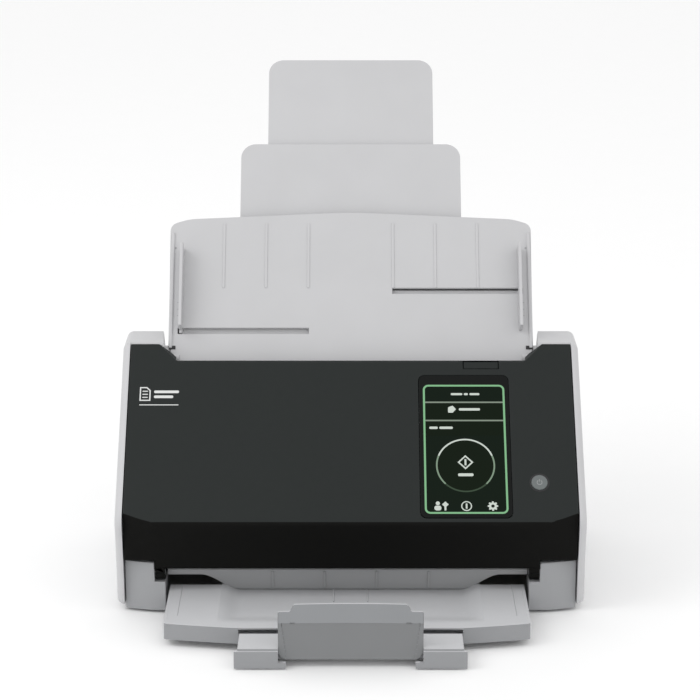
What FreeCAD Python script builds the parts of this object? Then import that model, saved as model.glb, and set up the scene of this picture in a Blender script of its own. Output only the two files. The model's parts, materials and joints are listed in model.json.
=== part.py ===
import FreeCAD, Part
import math
import os
import re
import Sketcher

# Sheet-fed document scanner, millimetres, +Z up, +X to the right, front towards -Y.
# Driving dimensions. Heights are above the desk and depths are from the casing's middle.
SIZES = {
    # casing
    "body_half": 148, "cover_half": 142.8, "panel_in": 143.3, "wall": 2.5, "thin_wall": 2,
    "foot_height": 1.7, "floor_top": 4.7, "case_rear": 78, "case_top": 153,
    "arm_in": 121.5, "arm_front": 8.6, "arm_rear": 42.5, "arm_taper": 2.9, "rear_edge": 104,
    "corner_start": 124, "corner_radius": 90, "corner_back": 6.6,
    # frames: each slanted set of parts has an origin and a tilt of its own
    "origin_shift": 10.29,
    "path_depth": -50.6, "path_height": 42, "path_angle": 59, "path_gap": 3,
    "face_depth": -84, "face_height": 62.3, "face_angle": 45, "face_top": 143.6,
    "chute_depth": 14, "chute_height": 146, "chute_angle": 55,
    # front cover and its fittings
    "lower_edge": 30.4, "lower_depth": -79, "ear_depth": 6.4, "ear_top": 152.7, "ear_rear": 7.8, "ear_in": 125.5,
    "dip_half": 112.5,
    "hinge_depth": -73, "hinge_height": 27, "hinge_pin": 3, "knuckle": 5.5, "knuckle_in": 116.9,
    "pillar_in": 123.7, "right_inset": 4.4,
    "glass_left": 43.8, "glass_right": 101.4, "glass_low": 4.2, "glass_high": 105, "glass_corner": 4,
    "lit_left": 46.4, "lit_right": 100.1, "lit_low": 5.3, "lit_high": 98,
    "button_across": 118.9, "button_up": 28.5, "button_radius": 5.2,
    "lever_left": 73.1, "lever_right": 95.2, "lever_up": 104, "lever_deep": -5, "lever_rod": 1.5,
    "tab_low": 110.1, "tab_high": 114.9, "tab_gap": 0.5, "tab_chamfer": 1.7,
    # feed path
    "guide_half": 116, "shaft_radius": 3, "running_gap": 0.05, "drive_radius": 10, "drive_deep": -9.5,
    "idler_radius": 7.5, "idler_high": 8.3, "exit_up": 14, "feed_up": 72, "pick_up": 98,
    "sensor_low": 36, "sensor_high": 52, "sensor_half": 110,
    "plate_in": 129, "plate_out": 131, "pulley_radius": 9, "belt_gap": 0.3,
    "tooth_module": 0.8, "gear_teeth": 48, "pinion_teeth": 12, "gear_in": 133.5, "gear_out": 137.5,
    # chute
    "chute_half": 120, "chute_low": -8, "chute_side_high": 89, "chute_crown": 96,
    "chute_pin_up": -4.4, "chute_pin_deep": -3.2, "chute_pin": 2.5, "guide_across": 110.5,
    "rack_module": 1, "rack_teeth": 20, "rack_up": 28, "rack_low": -5.4, "rack_high": -3.2,
    "guide_travel": 80, "stud_radius": 2,
    # stacker
    "tray_half": 114.7, "tray_top": 10, "tray_lip": 15.1, "tray_low": 4.5, "tray_corner": -130.5,
    "tray_bow": -137.5, "slot_half": 68.3, "ramp_start": -126,
    "ramp_end": -109,
    "wing_in": 80.5, "wing_back": -67, "rail_gap": 0.7,
    "slide_half": 67.6, "slide_low": 5.1, "slide_top": 8.1, "slide_front": -166, "slide_back": -78,
    "lip_in": 43.5, "lip_out": 69.8, "lip_low": 1, "lip_high": 11.9, "lip_foot_in": 38.8,
    "lip_foot_high": 4.7, "deck_high": 13.3,
    "stop_pivot_depth": -158.5, "stop_pivot_height": 10.7, "stop_pin": 1.5, "stop_knuckle": 2.4,
}

document = FreeCAD.newDocument("document_scanner")
sheet = document.addObject("Spreadsheet::Sheet", "Dims")
for row, (alias, size) in enumerate(SIZES.items(), start=1):
    sheet.set(f"A{row}", alias)
    sheet.set(f"B{row}", str(size))
    sheet.setAlias(f"B{row}", alias)
document.recompute()

FRAMES = {
    "case": ("0", "0", "0"),
    "path": ("path_depth", "path_height", "path_angle"),
    "face": ("face_depth", "face_height", "face_angle"),
    "chute": ("chute_depth", "chute_height", "chute_angle"),
}
ALONG = {
    "X": FreeCAD.Rotation(FreeCAD.Vector(0, 1, 0), 90),
    "Y": FreeCAD.Rotation(FreeCAD.Vector(1, 0, 0), -90),
    "Z": FreeCAD.Rotation(),
}
CUTTERS = ("PartDesign::SubtractiveBox", "PartDesign::SubtractiveCylinder", "PartDesign::Pocket")
nodes = []


# Expressions ---------------------------------------------------------------------------------
def bound(text):
    """The same expression with the sheet's name before each alias."""
    return re.sub(
        r"[a-z]+(_[a-z]+)*",
        lambda word: "Dims." + word.group() if word.group() in SIZES else word.group(),
        str(text),
    )


def number(text):
    return float(sheet.evalExpression(bound(text)))


def bind(feature, **expressions):
    for prop, text in expressions.items():
        feature.setExpression(prop.replace("__", "."), bound(text))


def mirrored(side, low, high):
    """An X span on one side: side is 1 for the right and -1 for the left."""
    return (low, high) if side > 0 else (f"-({high})", f"-({low})")


def inset(side):
    """The right-hand hinge, its leg and the stacker beside it stand a little further in."""
    return "- right_inset" if side > 0 else ""


# Bodies and features -------------------------------------------------------------------------
def new_body(label, frame="case"):
    body = document.addObject("PartDesign::Body", label)
    body.Label = label
    depth, height, tilt = FRAMES[frame]
    body.Placement.Rotation = FreeCAD.Rotation(FreeCAD.Vector(1, 0, 0), number(tilt))
    bind(body, Placement__Base__y=f"origin_shift + {depth}", Placement__Base__z=height)
    nodes.append(body)
    return body


def new_feature(body, kind):
    return body.newObject("PartDesign::" + kind, f"{body.Label}_{kind}_{len(body.Group)}")


def block(body, low, high, kind="AdditiveBox"):
    """A box between two opposite corners, each an (x, y, z) of expressions."""
    feature = new_feature(body, kind)
    bind(
        feature,
        Length=f"{high[0]} - ({low[0]})",
        Width=f"{high[1]} - ({low[1]})",
        Height=f"{high[2]} - ({low[2]})",
        Placement__Base__x=low[0],
        Placement__Base__y=low[1],
        Placement__Base__z=low[2],
    )
    return feature


def cut_block(body, low, high):
    return block(body, low, high, "SubtractiveBox")


def rod(body, start, radius, reach, axis="X", kind="AdditiveCylinder"):
    """A cylinder that starts at a point and reaches along an axis."""
    feature = new_feature(body, kind)
    feature.Placement = FreeCAD.Placement(FreeCAD.Vector(), ALONG[axis])
    bind(
        feature,
        Radius=radius,
        Height=reach,
        Placement__Base__x=start[0],
        Placement__Base__y=start[1],
        Placement__Base__z=start[2],
    )
    return feature


def bore(body, start, radius, reach, axis="X"):
    return rod(body, start, radius, reach, axis, "SubtractiveCylinder")


def hold_point(sketch, geometry, end, corner):
    """Ties a sketch point to the origin with two bound distances."""
    for kind, text in zip(("DistanceX", "DistanceY"), corner):
        index = sketch.addConstraint(Sketcher.Constraint(kind, -1, 1, geometry, end, number(text)))
        sketch.setExpression(f"Constraints[{index}]", bound(text))


def round_corner(sketch, before, after, apex, start, finish, corner, turn):
    """A tangent arc at one corner of an outline, with its apex held as a construction point."""
    radius = number(corner[2])
    middle = (start + finish) * 0.5
    half_chord = (finish - start).Length / 2
    outward = (middle - apex).normalize()
    centre = middle + outward * math.sqrt(max(radius**2 - half_chord**2, 0))
    first, last = (start, finish) if turn > 0 else (finish, start)
    angles = [math.atan2(point.y - centre.y, point.x - centre.x) for point in (first, last)]
    circle = Part.Circle(centre, FreeCAD.Vector(0, 0, 1), radius)
    arc = sketch.addGeometry(Part.ArcOfCircle(circle, *angles), False)
    point = sketch.addGeometry(Part.Point(apex), True)
    near, far = (1, 2) if turn > 0 else (2, 1)
    sketch.addConstraint(Sketcher.Constraint("Tangent", before, 2, arc, near))
    sketch.addConstraint(Sketcher.Constraint("Tangent", arc, far, after, 1))
    index = sketch.addConstraint(Sketcher.Constraint("Radius", arc, radius))
    sketch.setExpression(f"Constraints[{index}]", bound(corner[2]))
    sketch.addConstraint(Sketcher.Constraint("PointOnObject", point, 1, before))
    sketch.addConstraint(Sketcher.Constraint("PointOnObject", point, 1, after))
    hold_point(sketch, point, 1, corner)


def outline(body, plane, corners, offset):
    """A closed sketch. Each corner is (across, up) or (across, up, radius)."""
    sketch = body.newObject("Sketcher::SketchObject", f"{body.Label}_outline_{len(body.Group)}")
    planes = [item for item in body.Origin.OriginFeatures if item.Role == plane]
    sketch.AttachmentSupport = [(planes[0], "")]
    sketch.MapMode = "FlatFace"
    bind(sketch, AttachmentOffset__Base__z=offset)
    points = [FreeCAD.Vector(number(corner[0]), number(corner[1]), 0) for corner in corners]
    count = len(points)
    ends = []
    for index, corner in enumerate(corners):
        back = (points[index - 1] - points[index]).normalize()
        ahead = (points[(index + 1) % count] - points[index]).normalize()
        run = number(corner[2]) / math.tan(back.getAngle(ahead) / 2) if len(corner) > 2 else 0
        ends.append((points[index] + back * run, points[index] + ahead * run))
    lines = [
        sketch.addGeometry(Part.LineSegment(ends[index][1], ends[(index + 1) % count][0]), False)
        for index in range(count)
    ]
    for index, corner in enumerate(corners):
        before, after = lines[index - 1], lines[index]
        if len(corner) == 2:
            sketch.addConstraint(Sketcher.Constraint("Coincident", before, 2, after, 1))
            hold_point(sketch, after, 1, corner)
            continue
        apex = points[index]
        turn = (apex - points[index - 1]).cross(points[(index + 1) % count] - apex).z
        round_corner(sketch, before, after, apex, *ends[index], corner, turn)
    return sketch


def extrude(body, corners, low, high, plane="YZ", kind="Pad"):
    """A prism across a plane, from low to high along the plane's axis."""
    flipped = plane == "XZ"
    sketch = outline(body, plane + "_Plane", corners, f"-({high})" if flipped else low)
    feature = new_feature(body, kind)
    feature.Profile = sketch
    if kind == "Pocket":
        feature.Reversed = True
    bind(feature, Length=f"{high} - ({low})")
    return feature


def carve(body, corners, low, high, plane="YZ"):
    return extrude(body, corners, low, high, plane, "Pocket")


def soften(body, radius, chosen):
    """Rounds the edges whose bounding box the test accepts."""
    document.recompute()
    tip = body.Tip
    edges = [f"Edge{i}" for i, edge in enumerate(tip.Shape.Edges, 1) if chosen(edge.BoundBox)]
    feature = new_feature(body, "Fillet")
    feature.Base = (tip, edges)
    bind(feature, Radius=radius)


# Casing --------------------------------------------------------------------------------------
def round_front_corners(body, front):
    """Takes the front face back in a wide arc towards both sides, seen from above."""
    reach = "body_half + 20"
    slope = "corner_back / (body_half - corner_start)"
    for side in (1, -1):
        sign = "" if side > 0 else "-"
        carve(
            body,
            [
                (f"{sign}100", f"{front} - 10"),
                (f"{sign}({reach})", f"{front} - 10"),
                (f"{sign}({reach})", f"{front} + ({reach} - corner_start) * {slope}"),
                (f"{sign}corner_start", front, "corner_radius"),
                (f"{sign}100", front),
            ],
            "-10", "170", "XY",
        )


def base_casing():
    body = new_body("base_casing")
    block(body, ("-139", "-62", "foot_height"), ("139", "75", "floor_top"))
    for side in (1, -1):
        low, high = mirrored(side, f"knuckle_in {inset(side)}", "cover_half - 0.2")
        pillar = [
            ("lower_depth + 0.4", "foot_height", "1.5"), ("lower_depth", "34", "3"),
            ("-65", "34"), ("-58", "20"), ("-58", "foot_height"),
        ]
        extrude(body, pillar, low, high)
        low, high = mirrored(side, f"knuckle_in - 1 {inset(side)}", f"pillar_in {inset(side)}")
        cut_block(body, (low, "lower_depth - 3", "21"), (high, "-50", "36"))
        low, high = mirrored(side, "137", "139")
        block(body, (low, "-60", "foot_height"), (high, "75", "20"))
    block(body, ("-139", "73", "foot_height"), ("139", "75", "16"))
    round_front_corners(body, "lower_depth + 0.4")
    for side in (1, -1):
        low, _ = mirrored(side, f"pillar_in - 1 {inset(side)}", f"pillar_in + 7 {inset(side)}")
        bore(body, (low, "hinge_depth", "hinge_height"), "hinge_pin + running_gap", "8")



def side_cover(label, side):
    body = new_body(label)
    low, high = mirrored(side, "panel_in", "body_half")
    flank = [
        ("-76.5", "4", "5"), ("-78.6", "38"), ("-83.3", "63", "10"), ("case_top - 146.3", "case_top", "4"),
        ("arm_rear", "case_top", "14"), ("case_rear", "rear_edge", "10"), ("case_rear", "4", "5"),
    ]
    extrude(body, flank, low, high)
    low, high = mirrored(side, "arm_in", "panel_in + 1")
    arm = [
        ("arm_front", "134"), ("arm_front", "case_top", "3"), ("arm_rear", "case_top", "14"),
        ("case_rear", "rear_edge", "10"), ("case_rear", "93"), ("60", "93"), ("24", "127"),
    ]
    extrude(body, arm, low, high)
    outer = number("body_half") - 0.01
    soften(body, "4.4", lambda box: min(abs(box.XMin), abs(box.XMax)) > outer)
    sign = "" if side > 0 else "-"
    taper = [
        (f"{sign}(arm_in - 1)", "arm_front - 1"), (f"{sign}(arm_in + 0.3)", "arm_front"),
        (f"{sign}(arm_in + arm_taper)", "arm_rear"), (f"{sign}(arm_in + arm_taper)", "case_rear + 1"),
        (f"{sign}(arm_in - 1)", "case_rear + 1"),
    ]
    carve(body, taper, "138.5", "case_top + 1", "XY")
    low, high = mirrored(side, "arm_in + arm_taper + wall", "panel_in + 1.5")
    hollow = [
        ("arm_front + wall", "120"), ("arm_front + wall", "case_top - wall"),
        ("arm_rear - 2", "case_top - wall", "10"), ("case_rear - wall", "rear_edge - 2", "8"),
        ("case_rear - wall", "80"),
    ]
    carve(body, hollow, low, high)
    low, high = mirrored(side, "panel_in - 1", "body_half - wall")
    recess = [("-68", "12"), ("-70", "60"), ("0", "130"), ("60", "90"), ("66", "12")]
    carve(body, recess, low, high)
    low, high = mirrored(side, "arm_in - 1", "arm_in + wall + 1")
    start = low if side > 0 else "-(arm_in + wall + 1)"
    bore(body, (start, pin_depth(), pin_height()), "chute_pin + running_gap", "wall + 2")



def pin_depth():
    return "(chute_depth + chute_pin_up * cos(chute_angle) - chute_pin_deep * sin(chute_angle))"


def pin_height():
    return "(chute_height + chute_pin_up * sin(chute_angle) + chute_pin_deep * cos(chute_angle))"


def rear_cover():
    body = new_body("rear_cover")
    block(body, ("-cover_half", "case_rear - wall", "5"), ("cover_half", "case_rear", "90"))
    top = [
        ("case_rear - wall", "88"), ("case_rear", "88"), ("case_rear", "rear_edge", "8"),
        ("19.5", "138.2"), ("19.5", "135.4"), ("case_rear - wall", "rear_edge - 2", "6"),
    ]
    extrude(body, top, "-(arm_in - 0.3)", "arm_in - 0.3")
    for port in PORTS:
        left, right, low, high = port[1:5]
        cut_block(
            body,
            (f"{left} - 0.3", "case_rear - wall - 1", f"{low} - 0.3"),
            (f"{right} + 0.3", "case_rear + 1", f"{high} + 0.3"),
        )
    cut_block(body, ("-112", "case_rear - wall - 1", "20"), ("-105", "case_rear + 1", "23"))
    for index in range(9):
        across = f"{-60 + 7 * index}"
        cut_block(
            body,
            (across, "case_rear - wall - 1", "52"),
            (f"{across} + 2.4", "case_rear + 1", "82"),
        )



def rubber_feet():
    body = new_body("rubber_feet")
    for across in ("-118", "118"):
        for deep in ("-48", "62"):
            rod(body, (across, deep, "0"), "7", "foot_height", "Z")



def case_screws():
    """Pan heads under the floor, held in the casing's own bosses."""
    body = new_body("case_screws")
    for across in ("-90", "0", "90"):
        rod(body, (across, "66", "foot_height - 1"), "3", "1", "Z")


# Inner frame ---------------------------------------------------------------------------------
def path_point(up, deep):
    """The case frame's (depth, height) of a point in the path frame."""
    return (
        f"(path_depth + ({up}) * cos(path_angle) - ({deep}) * sin(path_angle))",
        f"(path_height + ({up}) * sin(path_angle) + ({deep}) * cos(path_angle))",
    )


def chassis_plate(label, side):
    body = new_body(label)
    low, high = mirrored(side, "plate_in", "plate_out")
    plate = [
        ("-56", "floor_top"), ("-56", "30"), path_point("2", "-1.2"), path_point("108", "-1.2"),
        ("16", "131", "3"), ("62", "88", "4"), ("70", "40"), ("70", "floor_top"),
    ]
    extrude(body, plate, low, high)
    for up in ("exit_up", "feed_up", "pick_up"):
        depth, height = path_point(up, "drive_deep")
        bore(body, (low, depth, height), "shaft_radius + 2", "plate_out - plate_in")
    if side > 0:
        depth, height = path_point("exit_up", f"drive_deep - {centre_distance()}")
        bore(body, (low, depth, height), "4", "plate_out - plate_in")



def latch_catch_pins():
    body = new_body("latch_catch_pins")
    for side in (1, -1):
        low, _ = mirrored(side, "122.5", "plate_in")
        rod(body, (low, "-0.5", "119.5"), "2", "plate_in - 122.5")



def shaft_bushings():
    body = new_body("shaft_bushings", "path")
    for side in (1, -1):
        low, _ = mirrored(side, "plate_in - 1.5", "plate_out + 0.6")
        for up in ("exit_up", "feed_up", "pick_up"):
            rod(body, (low, up, "drive_deep"), "shaft_radius + 2", "plate_out - plate_in + 2.1")
    for side in (1, -1):
        low, _ = mirrored(side, "plate_in - 2", "plate_out + 1")
        for up in ("exit_up", "feed_up", "pick_up"):
            bore(body, (low, up, "drive_deep"), "shaft_radius + running_gap", "plate_out - plate_in + 3")



def cross_member():
    body = new_body("cross_member")
    block(body, ("-plate_in", "34", "66"), ("plate_in", "46", "68"))
    block(body, ("-plate_in", "34", "60"), ("plate_in", "36", "68"))



def feed_guide_plate():
    body = new_body("feed_guide_plate", "path")
    plate = [
        ("110", "-thin_wall"), ("110", "0"), ("0", "0", "8"), ("-12", "1.45"),
        ("-12.7", "-0.6"), ("0", "-thin_wall", "6"),
    ]
    extrude(body, plate, "-guide_half", "guide_half")
    for across in ("-50", "50"):
        cut_block(
            body, (f"{across} - 9", "exit_up - 7.5", "-5"), (f"{across} + 9", "exit_up + 7.5", "5")
        )
    for up in ("feed_up", "pick_up"):
        cut_block(body, ("-22", f"{up} - 7.5", "-5"), ("22", f"{up} + 7.5", "5"))
    cut_block(
        body,
        ("-(sensor_half + 0.5)", "sensor_low - 0.5", "-5"),
        ("sensor_half + 0.5", "sensor_high + 0.5", "5"),
    )



def exit_guide():
    body = new_body("exit_guide")
    curve = [
        ("-59.2", "31"), ("-70.3", "26.2", "1.2"), ("-64", "10.7"), ("-61", "10.7"),
        ("-66.2", "25"), ("-58.6", "28.6"),
    ]
    extrude(body, curve, "-guide_half", "guide_half + 0.5 - right_inset")
    for side in (1, -1):
        sign = "" if side > 0 else "-"
        corner = [
            (f"{sign}71.5", "9"), (f"{sign}71.5", "10.7"), (f"{sign}94", "22.4", "12"),
            (f"{sign}120", "22.4"), (f"{sign}120", "9"),
        ]
        carve(body, corner, "-80", "-50", "XZ")
    rib = [("-70.6", "25"), ("-64.9", "11"), ("-63.4", "11"), ("-69", "25")]
    for across in ("-49.5", "-16.5", "16.5", "49.5"):
        extrude(body, rib, f"{across} - 0.7", f"{across} + 0.7")



def sensor(label, low, high):
    body = new_body(label, "path")
    block(body, ("-sensor_half", "sensor_low", low), ("sensor_half", "sensor_high", high))



def main_circuit_board():
    body = new_body("main_circuit_board")
    block(body, ("-100", "56", "14"), ("100", "57.6", "88"))
    for left, right, low, high in (("-60", "-42", "40", "58"), ("-20", "-6", "50", "62")):
        block(body, (left, "53.8", low), (right, "56.2", high))
    for post in ("-92", "92"):
        block(body, (f"{post} - 3", "54", "floor_top"), (f"{post} + 3", "56.2", "20"))


# name, left, right, low, high, and the hollow in its face: half width, half height
PORTS = (
    ("usb_port", "30", "42", "20", "27", "4.4", "1.5"),
    ("lan_port", "50", "66", "18", "32", "5.9", "4"),
    ("dc_inlet", "76", "87", "18", "29", "3.2", "3.2"),
)


def port(label, left, right, low, high, half_wide, half_tall):
    body = new_body(label)
    block(body, (left, "57.6", low), (right, "case_rear - 0.3", high))
    middle = f"({left} + {right}) / 2"
    centre = f"({low} + {high}) / 2"
    if label == "dc_inlet":
        bore(body, (middle, "case_rear - 10", centre), half_wide, "20", "Y")
        rod(body, (middle, "case_rear - 12", centre), "1", "10", "Y")
    else:
        cut_block(
            body,
            (f"{middle} - {half_wide}", "case_rear - 12", f"{centre} - {half_tall}"),
            (f"{middle} + {half_wide}", "case_rear + 1", f"{centre} + {half_tall}"),
        )


# Drive ---------------------------------------------------------------------------------------
def centre_distance():
    return "(tooth_module * (gear_teeth + pinion_teeth) / 2)"


def drive_motor():
    body = new_body("drive_motor", "path")
    deep = f"drive_deep - {centre_distance()}"
    rod(body, ("106", "exit_up", deep), "14", "plate_in - 106")
    bore(body, ("plate_in - 6", "exit_up", deep), "1.55", "7")



def roller_set(label, up, deep, radius, spans):
    body = new_body(label, "path")
    for low, high in spans:
        rod(body, (low, up, deep), radius, f"{high} - ({low})")
    for low, high in spans:
        bore(body, (low, up, deep), "shaft_radius", f"{high} - ({low})")



def shaft(label, up, deep, low, high):
    body = new_body(label, "path")
    rod(body, (low, up, deep), "shaft_radius", f"{high} - ({low})")



def pulley(label, up, places):
    """Flat belt wheels pressed on a shaft's left end."""
    body = new_body(label, "path")
    for low, high in places:
        rod(body, (low, up, "drive_deep"), "pulley_radius", f"{high} - ({low})")
        bore(body, (low, up, "drive_deep"), "shaft_radius", f"{high} - ({low})")



def drive_belts(runs):
    """Flat belts, each around two wheels of one size."""
    body = new_body("drive_belts", "path")
    inner = "(pulley_radius + belt_gap)"
    outer = "(pulley_radius + belt_gap + 1)"
    for radius, box, wheel in (
        (outer, "AdditiveBox", "AdditiveCylinder"),
        (inner, "SubtractiveBox", "SubtractiveCylinder"),
    ):
        for low_up, high_up, low, high in runs:
            block(
                body,
                (low, low_up, f"drive_deep - {radius}"),
                (high, high_up, f"drive_deep + {radius}"),
                box,
            )
            for up in (low_up, high_up):
                rod(body, (low, up, "drive_deep"), radius, f"{high} - ({low})", "X", wheel)



def toothed_part(label, teeth, module, turn, length, hole, frame, place, stem=None):
    """A gear along local Z: a root disc with straight-flanked teeth, and a hole or a stem."""
    size, count, thickness = number(module), int(number(teeth)), number(length)
    root, tip = size * (count / 2 - 1.25), size * (count / 2 + 0.9)
    half_root, half_tip = size * 1.02, size * 0.38
    solids = []
    for index in range(count):
        angle = math.radians(turn) + 2 * math.pi * index / count
        ahead = FreeCAD.Vector(math.cos(angle), math.sin(angle), 0)
        aside = FreeCAD.Vector(-math.sin(angle), math.cos(angle), 0)
        inner, outer = ahead * (root - 0.3), ahead * tip
        corners = [
            inner - aside * half_root, outer - aside * half_tip,
            outer + aside * half_tip, inner + aside * half_root,
        ]
        face = Part.Face(Part.makePolygon(corners + corners[:1]))
        solids.append(face.extrude(FreeCAD.Vector(0, 0, thickness)))
    if stem:
        start, end, radius = (number(text) for text in stem)
        solids.append(Part.makeCylinder(radius, end - start, FreeCAD.Vector(0, 0, start)))
    shape = Part.makeCylinder(root, thickness).fuse(solids)
    if hole:
        shape = shape.cut(Part.makeCylinder(number(hole), thickness))
    node = document.addObject("Part::Feature", label)
    node.Label = label
    node.Shape = shape.removeSplitter()
    depth, height, tilt = (number(text) for text in FRAMES[frame])
    stand = FreeCAD.Placement(
        FreeCAD.Vector(0, number("origin_shift") + depth, height),
        FreeCAD.Rotation(FreeCAD.Vector(1, 0, 0), tilt),
    )
    node.Placement = stand.multiply(place)
    nodes.append(node)


def exit_gear():
    """Its teeth are counted from the line towards the motor."""
    centre = FreeCAD.Vector(number("gear_in"), number("exit_up"), number("drive_deep"))
    toothed_part(
        "exit_gear", "gear_teeth", "tooth_module", 0, "gear_out - gear_in", "shaft_radius",
        "path", FreeCAD.Placement(centre, ALONG["X"]),
    )


def motor_pinion():
    """Cut on the motor's shaft, half a tooth out of step so that a gear tooth faces a gap."""
    deep = number(f"drive_deep - {centre_distance()}")
    centre = FreeCAD.Vector(number("gear_in"), number("exit_up"), deep)
    toothed_part(
        "motor_pinion", "pinion_teeth", "tooth_module", 180 / SIZES["pinion_teeth"],
        "gear_out - gear_in", None, "path", FreeCAD.Placement(centre, ALONG["X"]),
        ("plate_in - 5 - gear_in", "1", "1.5"),
    )


# Front cover ---------------------------------------------------------------------------------
def front_cover():
    body = new_body("front_cover")
    flank = [
        ("lower_depth", "lower_edge", "1"), ("lower_depth - 0.6", "44"), ("face_depth", "face_height", "4"),
        ("ear_depth", "ear_top", "1.2"), ("ear_rear", "ear_top"), ("ear_rear", "146.5"),
        path_point("110", "5.05"), path_point("-5", "5.05"), ("-66", "33.5"), ("-72", "lower_edge"),
    ]
    extrude(body, flank, "-cover_half", "cover_half")
    inside = [
        ("-76.4", "20"), ("-76.6", "41"), ("-81", "61.7", "3"), ("-5.5", "137.2"), ("0.2", "134.5"),
        ("-30", "80"), ("-54", "20"),
    ]
    carve(body, inside, "-(corner_start + 4)", "corner_start + 4")
    beside = [
        ("-71.8", "20"), ("-72.1", "43"), ("-76.4", "61.9", "3"), ("-5.5", "132.8"), ("0.2", "131"),
        ("-30", "80"), ("-54", "20"),
    ]
    for side in (1, -1):
        low, high = mirrored(side, "corner_start + 3", "cover_half - wall")
        carve(body, beside, low, high)
    dip = [
        ("-ear_in", "170"), ("-ear_in", "ear_top + 0.8"), ("-dip_half", "face_top", "8"),
        ("dip_half", "face_top", "8"), ("ear_in", "ear_top + 0.8"), ("ear_in", "170"),
    ]
    carve(body, dip, "-30", "20", "XZ")
    back = [
        ("-0.5", "170"), ("-0.5", "face_top + 0.2"), path_point("110", "5.05"), ("30", "138"), ("30", "170"),
    ]
    carve(body, back, "-dip_half - 1", "dip_half + 1")
    round_front_corners(body, "face_depth")
    for side in (1, -1):
        low, high = mirrored(side, f"pillar_in - 0.4 {inset(side)}", "cover_half + 1")
        cut_block(body, (low, "-95", "20"), (high, "-50", "36"))
        low, high = mirrored(side, f"knuckle_in {inset(side)}", f"pillar_in - 0.3 {inset(side)}")
        rod(body, (low, "hinge_depth", "hinge_height"), "knuckle", "pillar_in - 0.3 - knuckle_in")
        block(body, (low, "lower_depth + 0.3", "hinge_height"), (high, "-68", "44"))
        bore(body, (low, "hinge_depth", "hinge_height"), "hinge_pin", "pillar_in - 0.3 - knuckle_in")
    return body


def cut_in_face(body, low, high):
    """A cut through the sloping face, given along the slope and along its normal."""
    feature = cut_block(body, low, high)
    tilt_to_face(feature, low)
    return feature


def tilt_to_face(feature, low):
    """Turns a feature of the case frame into the sloping face's frame."""
    feature.Placement.Rotation = FreeCAD.Rotation(FreeCAD.Vector(1, 0, 0), number("face_angle"))
    bind(
        feature,
        Placement__Base__y=f"face_depth + ({low[1]}) * cos(face_angle) - ({low[2]}) * sin(face_angle)",
        Placement__Base__z=f"face_height + ({low[1]}) * sin(face_angle) + ({low[2]}) * cos(face_angle)",
    )


def open_cover_windows(body):
    cut_in_face(
        body,
        ("glass_left - 0.2", "glass_low - 0.2", "-6"),
        ("glass_right + 0.2", "glass_high + 0.2", "5"),
    )
    window = number("glass_left") - 0.2, number("glass_right") + 0.2
    soften(
        body, "glass_corner",
        lambda box: box.XLength < 0.01 and box.DiagonalLength < 6 and min(
            abs(box.XMin - across) for across in window
        ) < 0.01,
    )
    cut_in_face(
        body,
        ("lever_left - tab_gap", "tab_low - 0.2", "-6.4"),
        ("lever_right + tab_gap", "125", "5"),
    )
    cut_in_face(body, ("81", "107.3", "-6.4"), ("90", "tab_low", "-2.6"))
    hole = bore(body, ("button_across", "0", "0"), "button_radius + 0.3", "12", "Z")
    tilt_to_face(hole, ("button_across", "button_up", "-6"))


def cover_hinge_pins():
    body = new_body("cover_hinge_pins")
    for side in (1, -1):
        low, _ = mirrored(side, f"117 {inset(side)}", f"pillar_in + 6 {inset(side)}")
        rod(body, (low, "hinge_depth", "hinge_height"), "hinge_pin", "pillar_in + 6 - 117")



def cover_inner_guide():
    body = new_body("cover_inner_guide", "path")
    plate = [
        ("108", "path_gap"), ("108", "path_gap + thin_wall"), ("0", "path_gap + thin_wall", "6"),
        ("-9.5", "7"), ("-17.5", "13.5"), ("-19", "12"), ("-10.5", "5"), ("0", "path_gap", "8"),
    ]
    extrude(body, plate, "-guide_half", "guide_half + 0.5 - right_inset")
    for across in ("-50", "50"):
        cut_block(
            body, (f"{across} - 9", "exit_up - 7.3", "1"), (f"{across} + 9", "exit_up + 7.3", "7")
        )
    cut_block(body, ("-15", "feed_up - 7.3", "1"), ("15", "feed_up + 7.3", "7"))
    cut_block(
        body,
        ("-(sensor_half + 0.5)", "sensor_low - 0.5", "1"),
        ("sensor_half + 0.5", "sensor_high + 0.5", "7"),
    )



def cover_frame():
    """Two cheeks and a bridge that carry the cover's rollers and its release lever."""
    body = new_body("cover_frame", "path")
    cheek = [("4", "5.2"), ("105", "5.2"), ("103", "10"), ("96", "12"), ("30", "20"), ("4", "20")]
    for side in (1, -1):
        low, high = mirrored(side, "guide_half + 0.3", "guide_half + 2.3")
        extrude(body, cheek, low, high)
    block(body, ("-(guide_half + 1)", "56", "6"), ("guide_half + 1", "59", "13"))
    low, _ = mirrored(-1, "guide_half - 1", "guide_half + 4")
    reach = "2 * guide_half + 10"
    for up, deep, radius in (
        ("exit_up", "idler_high", "shaft_radius + running_gap"),
        ("feed_up", "idler_high", "shaft_radius + running_gap"),
    ):
        bore(body, (low, up, deep), radius, reach)
    up, deep = lever_in_path()
    bore(body, (low, up, deep), "lever_rod + running_gap", reach)



def lever_in_path():
    """The release lever's rod, given in the path frame."""
    depth = "(face_depth + lever_up * cos(face_angle) - lever_deep * sin(face_angle) - path_depth)"
    height = "(face_height + lever_up * sin(face_angle) + lever_deep * cos(face_angle) - path_height)"
    return (
        f"({depth} * cos(path_angle) + {height} * sin(path_angle))",
        f"({height} * cos(path_angle) - {depth} * sin(path_angle))",
    )


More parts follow.
